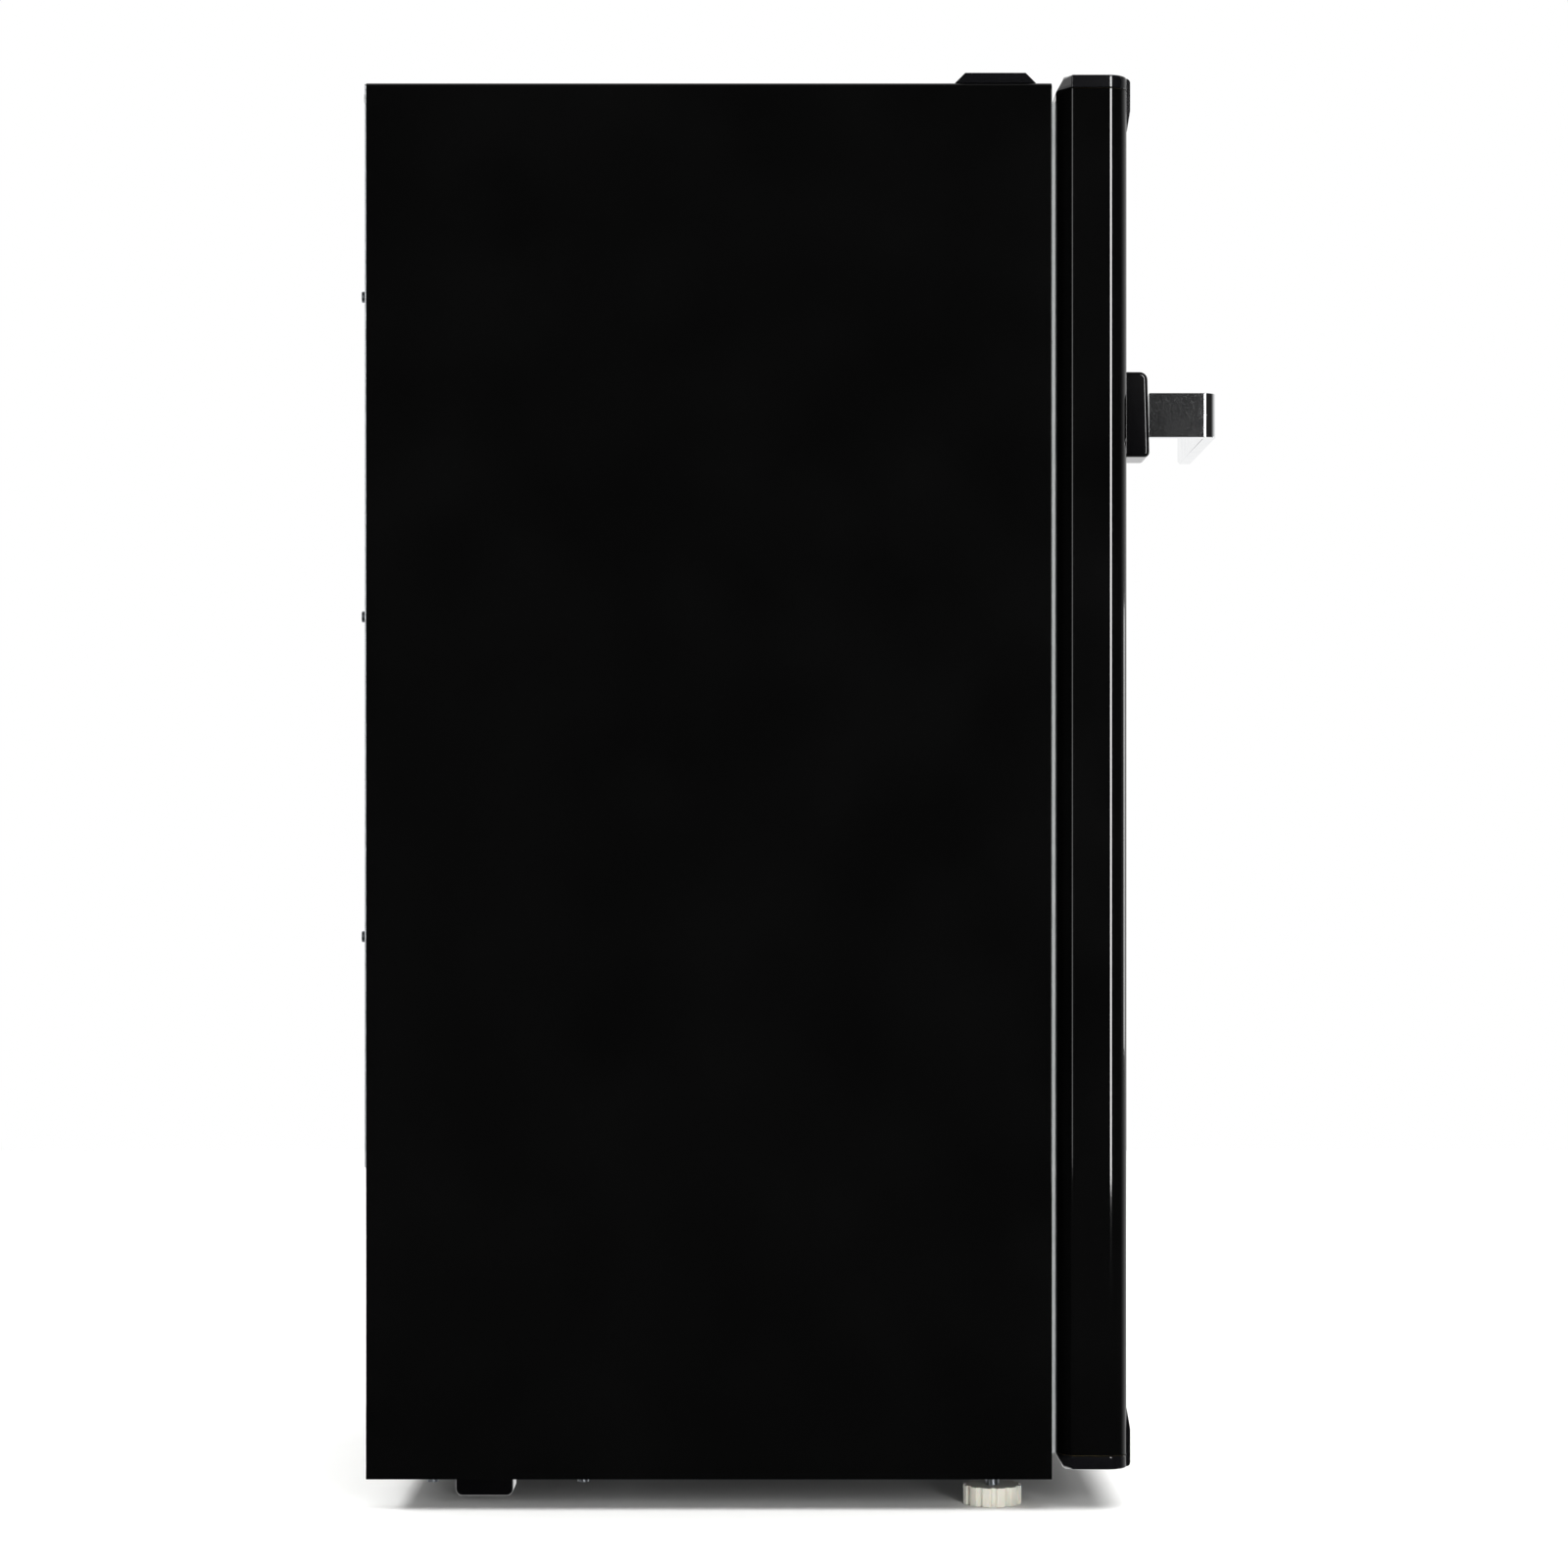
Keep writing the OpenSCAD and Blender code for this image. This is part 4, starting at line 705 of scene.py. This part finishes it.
print("lever size:", [round(v / MM, 1) for v in lever.dimensions])

# %% [markdown]
# ## Door seal
# The seal is an extruded bellows with a magnet strip, welded into a ring. An opened block gives
# the ring: the middle of its front and back are removed and the two holes are bridged. A cut
# round the middle of its outside, pushed in, makes the fold of the bellows.

# %% Seal ring
low, high = box_mm("gasket")
seal = start_block("door_seal_ring", low, high)
band, fold_y, fold_in, lip_y = 16, -153.2, 0.9, -152.0
choose(seal, "FACE", lambda c, n: abs(n.y) > 0.9)
bpy.ops.mesh.inset(thickness=band * MM, use_individual=True, use_even_offset=True)
bpy.ops.mesh.delete(type="FACE")
choose(seal, "EDGE", lambda c, d: abs(d.y) < 0.1 and abs(c.x) < high.x - 1
       and low.z + 0.4 < c.z < high.z - 0.8
       and (near(abs(c.x), high.x - band, 0.2) or near(c.z, low.z + band, 0.2)
            or near(c.z, high.z - band, 0.2)))
bpy.ops.mesh.bridge_edge_loops()
for y, push in ((fold_y, fold_in), (lip_y, 0.0)):
    score(seal, "Y", y)
    for axis, sign, edge in ((0, 1, high.x), (0, -1, low.x), (2, 1, high.z), (2, -1, low.z)):
        choose(seal, "VERT", lambda c, n: near(c.y, y) and abs(c[axis] - edge) < fold_in + 0.05)
        shift = Vector()
        shift[axis] = -sign * push
        move(shift)
closed()
soften(seal, 0.35, 2, 25)
settle(seal, vinyl, "gasket")
print("seal faces:", len(seal.data.polygons))

# %% [markdown]
# ## Smaller parts
# Brackets, feet, covers and trays have the right shape in the frame but razor-sharp edges, and a
# razor edge never catches light. Modelling each again would give the same shape. A copy is
# enough: its doubled points are merged, flat areas are made single faces, and every sharp edge
# gets the small radius that its process leaves, larger for rubber and less for stamped steel.

# %% Copy a part and soften its edges
def softened(node, width):
    """A copy of a CAD part with merged points, whole flat faces and soft edges."""
    piece = copied(cad[node], node + "_soft")
    choose(piece, "FACE", lambda c, n: True)
    bpy.ops.mesh.remove_doubles(threshold=0.00001)
    merge_flat()
    bpy.ops.object.mode_set(mode="OBJECT")
    soften(piece, width, 2, 32)
    settle(piece, finish_of[slot_of[node]], node)


radii = {"hinge_cover": 0.7, "spare_hinge_cover": 0.7, "rear_feet": 2.0, "foot_disc_left": 0.9,
         "foot_disc_right": 0.9, "upper_hinge_plate": 0.35, "lower_hinge_bracket": 0.5,
         "base_pan": 0.4, "compressor_plate": 0.4, "relay_cover": 1.2, "evaporation_tray": 0.6,
         "thermostat_housing": 2.0, "thermostat_dial": 0.7, "shelf_trim": 1.2,
         "crisper_trim": 1.2, "shelf_glass": 0.6, "crisper_cover": 0.6, "crisper_drawer": 1.0,
         "drip_tray": 0.9, "freezer_flap": 1.2, "freezer_frame": 1.0, "freezer_box": 0.25,
         "upper_rack": 0.8, "can_rack": 0.8, "bottle_rack": 0.8, "tray_rails": 0.4,
         "compartment_deck": 0.2, "hinge_washer": 0.3}
for node, width in radii.items():
    softened(node, width)
print("softened parts:", len(radii))

# %% [markdown]
# ## Inner liner
# The inside of the cabinet is one thin sheet of white polystyrene, drawn by vacuum over a mould,
# so every inner corner is round and the compressor's hump at the back is part of the same skin.
# Hollowing a block with a boolean would leave sharp corners. Here the cavity is shaped as a
# solid like the mould, its corners are rounded, its mouth is drawn out into a flange, and the
# sheet is then thickened away from the mould. The ledges for the shelves are joined on.

# %% Shape the cavity
low, high = box_mm("inner_liner")
ledge_front = box_mm("shelf_trim")[1].y + 1
mouth, room_back, room_side = low.y, high.y - 2, high.x - 11
room_low, room_high, hump_front, hump_top = low.z + 20.4, high.z - 13, 57, 238
corner, mouth_bend, plastic = 8, 2.5, 1.6
ledge_width, ledge_height, sunk = 7, 6, 0.5
liner = start_block("inner_liner_sheet", (-room_side, mouth, hump_top),
                    (room_side, room_back, room_high))
score(liner, "Y", hump_front)
choose(liner, "FACE", lambda c, n: n.z < -0.9 and c.y < hump_front)
extrude((0, 0, room_low - hump_top))
merge_flat()
print("cavity faces:", len(bmesh.from_edit_mesh(liner.data).faces))

# %% Round it, open it and give it thickness
round_edges(liner, corner, 6, lambda c, d: c.y > mouth + 1)
choose(liner, "FACE", lambda c, n: n.y < -0.9 and near(c.y, mouth))
grow_x, grow_z = high.x / room_side, (high.z - low.z) / (room_high - room_low)
middle_z = (room_low * grow_z - low.z) / (grow_z - 1)
extrude((0, 0, 0))
bpy.ops.transform.resize(value=(grow_x, 1, grow_z),
                         center_override=(0, mouth * MM, middle_z * MM))
bpy.ops.mesh.delete(type="FACE")
round_edges(liner, mouth_bend, 4, lambda c, d: near(c.y, mouth)
            and abs(c.x) < room_side + 0.1 and room_low - 0.1 < c.z < room_high + 0.1)
bpy.ops.object.mode_set(mode="OBJECT")
finish_with(liner, "SOLIDIFY", thickness=plastic * MM, offset=1, use_even_offset=True)
for sign in (-1, 1):
    for node in ("shelf_glass", "crisper_cover"):
        seat, tip_x = box_mm(node)[0].z, room_side - ledge_width
        x0, x1 = sorted((sign * (room_side + sunk), sign * tip_x))
        ledge = start_block("ledge", (x0, ledge_front, seat - ledge_height),
                            (x1, room_back + sunk, seat))
        round_edges(ledge, 2, 3, lambda c, d: near(abs(c.x), tip_x) or near(c.y, ledge_front))
        closed()
        join(liner, ledge)
settle(liner, hips, "inner_liner")
print("liner faces:", len(liner.data.polygons))

# %% [markdown]
# ## Door liner
# The back of the door is the same kind of drawn sheet. A plateau stands into the cabinet's
# mouth and two pillars carry the racks. The flat sheet is scored with straight cuts, and the
# fields between them are pulled out one after the other, as a mould draws them. Every edge is
# then rounded, and small pegs are added under the racks.

# %% Draw the plateau and the pillars
low, high = box_mm("door_liner")
pillar_in = box_mm("bottle_rack")[1].x + 0.4
pillar_width, plate, mould_radius = 30, 2, 5.5
pillar_out = pillar_in + pillar_width
plate_y, plateau_y, pillar_y = low.y + 6.2, front + 12, high.y
field_low, field_high, pillar_top, peg_size = 60, 775, 630, 6
door_sheet = start_block("door_liner_sheet", (low.x, plate_y - plate, low.z),
                         (high.x, plate_y, high.z))
for x in (-pillar_out, -pillar_in, pillar_in, pillar_out):
    score(door_sheet, "X", x)
for z in (field_low, pillar_top, field_high):
    score(door_sheet, "Z", z)
choose(door_sheet, "FACE", lambda c, n: n.y > 0.9 and abs(c.x) < pillar_out
       and field_low < c.z < field_high)
extrude((0, plateau_y - plate_y, 0))
choose(door_sheet, "FACE", lambda c, n: n.y > 0.9 and near(c.y, plateau_y)
       and pillar_in < abs(c.x) < pillar_out and c.z < pillar_top)
extrude((0, pillar_y - plateau_y, 0))
merge_flat()
round_edges(door_sheet, mould_radius, 5, lambda c, d: c.y > plate_y - 0.5
            and abs(c.x) < pillar_out + 1 and field_low - 1 < c.z < field_high + 1)
closed()
for node in ("bottle_rack", "can_rack", "upper_rack"):
    seat = box_mm(node)[0].z
    for sign in (-1, 1):
        x0, x1 = sorted((sign * (pillar_in - peg_size), sign * (pillar_in + sunk)))
        peg = start_block("peg", (x0, plateau_y - sunk, seat - peg_size),
                          (x1, pillar_y - 8, seat))
        round_edges(peg, 1.2, 2, lambda c, d: c.y > plateau_y + 1)
        closed()
        join(door_sheet, peg)
settle(door_sheet, hips, "door_liner")
print("door liner faces:", len(door_sheet.data.polygons))

# %% [markdown]
# ## Checks and the end
# The looks must not change the measured size. The frame's box and the finished model's box are
# compared, and the largest change between them is printed.

# %% Compare the sizes and finish
low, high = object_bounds()
changes = [abs(a - b) / MM for a, b in zip((*low, *high), (*cad_low, *cad_high))]
print("largest change in mm:", round(max(changes), 2))
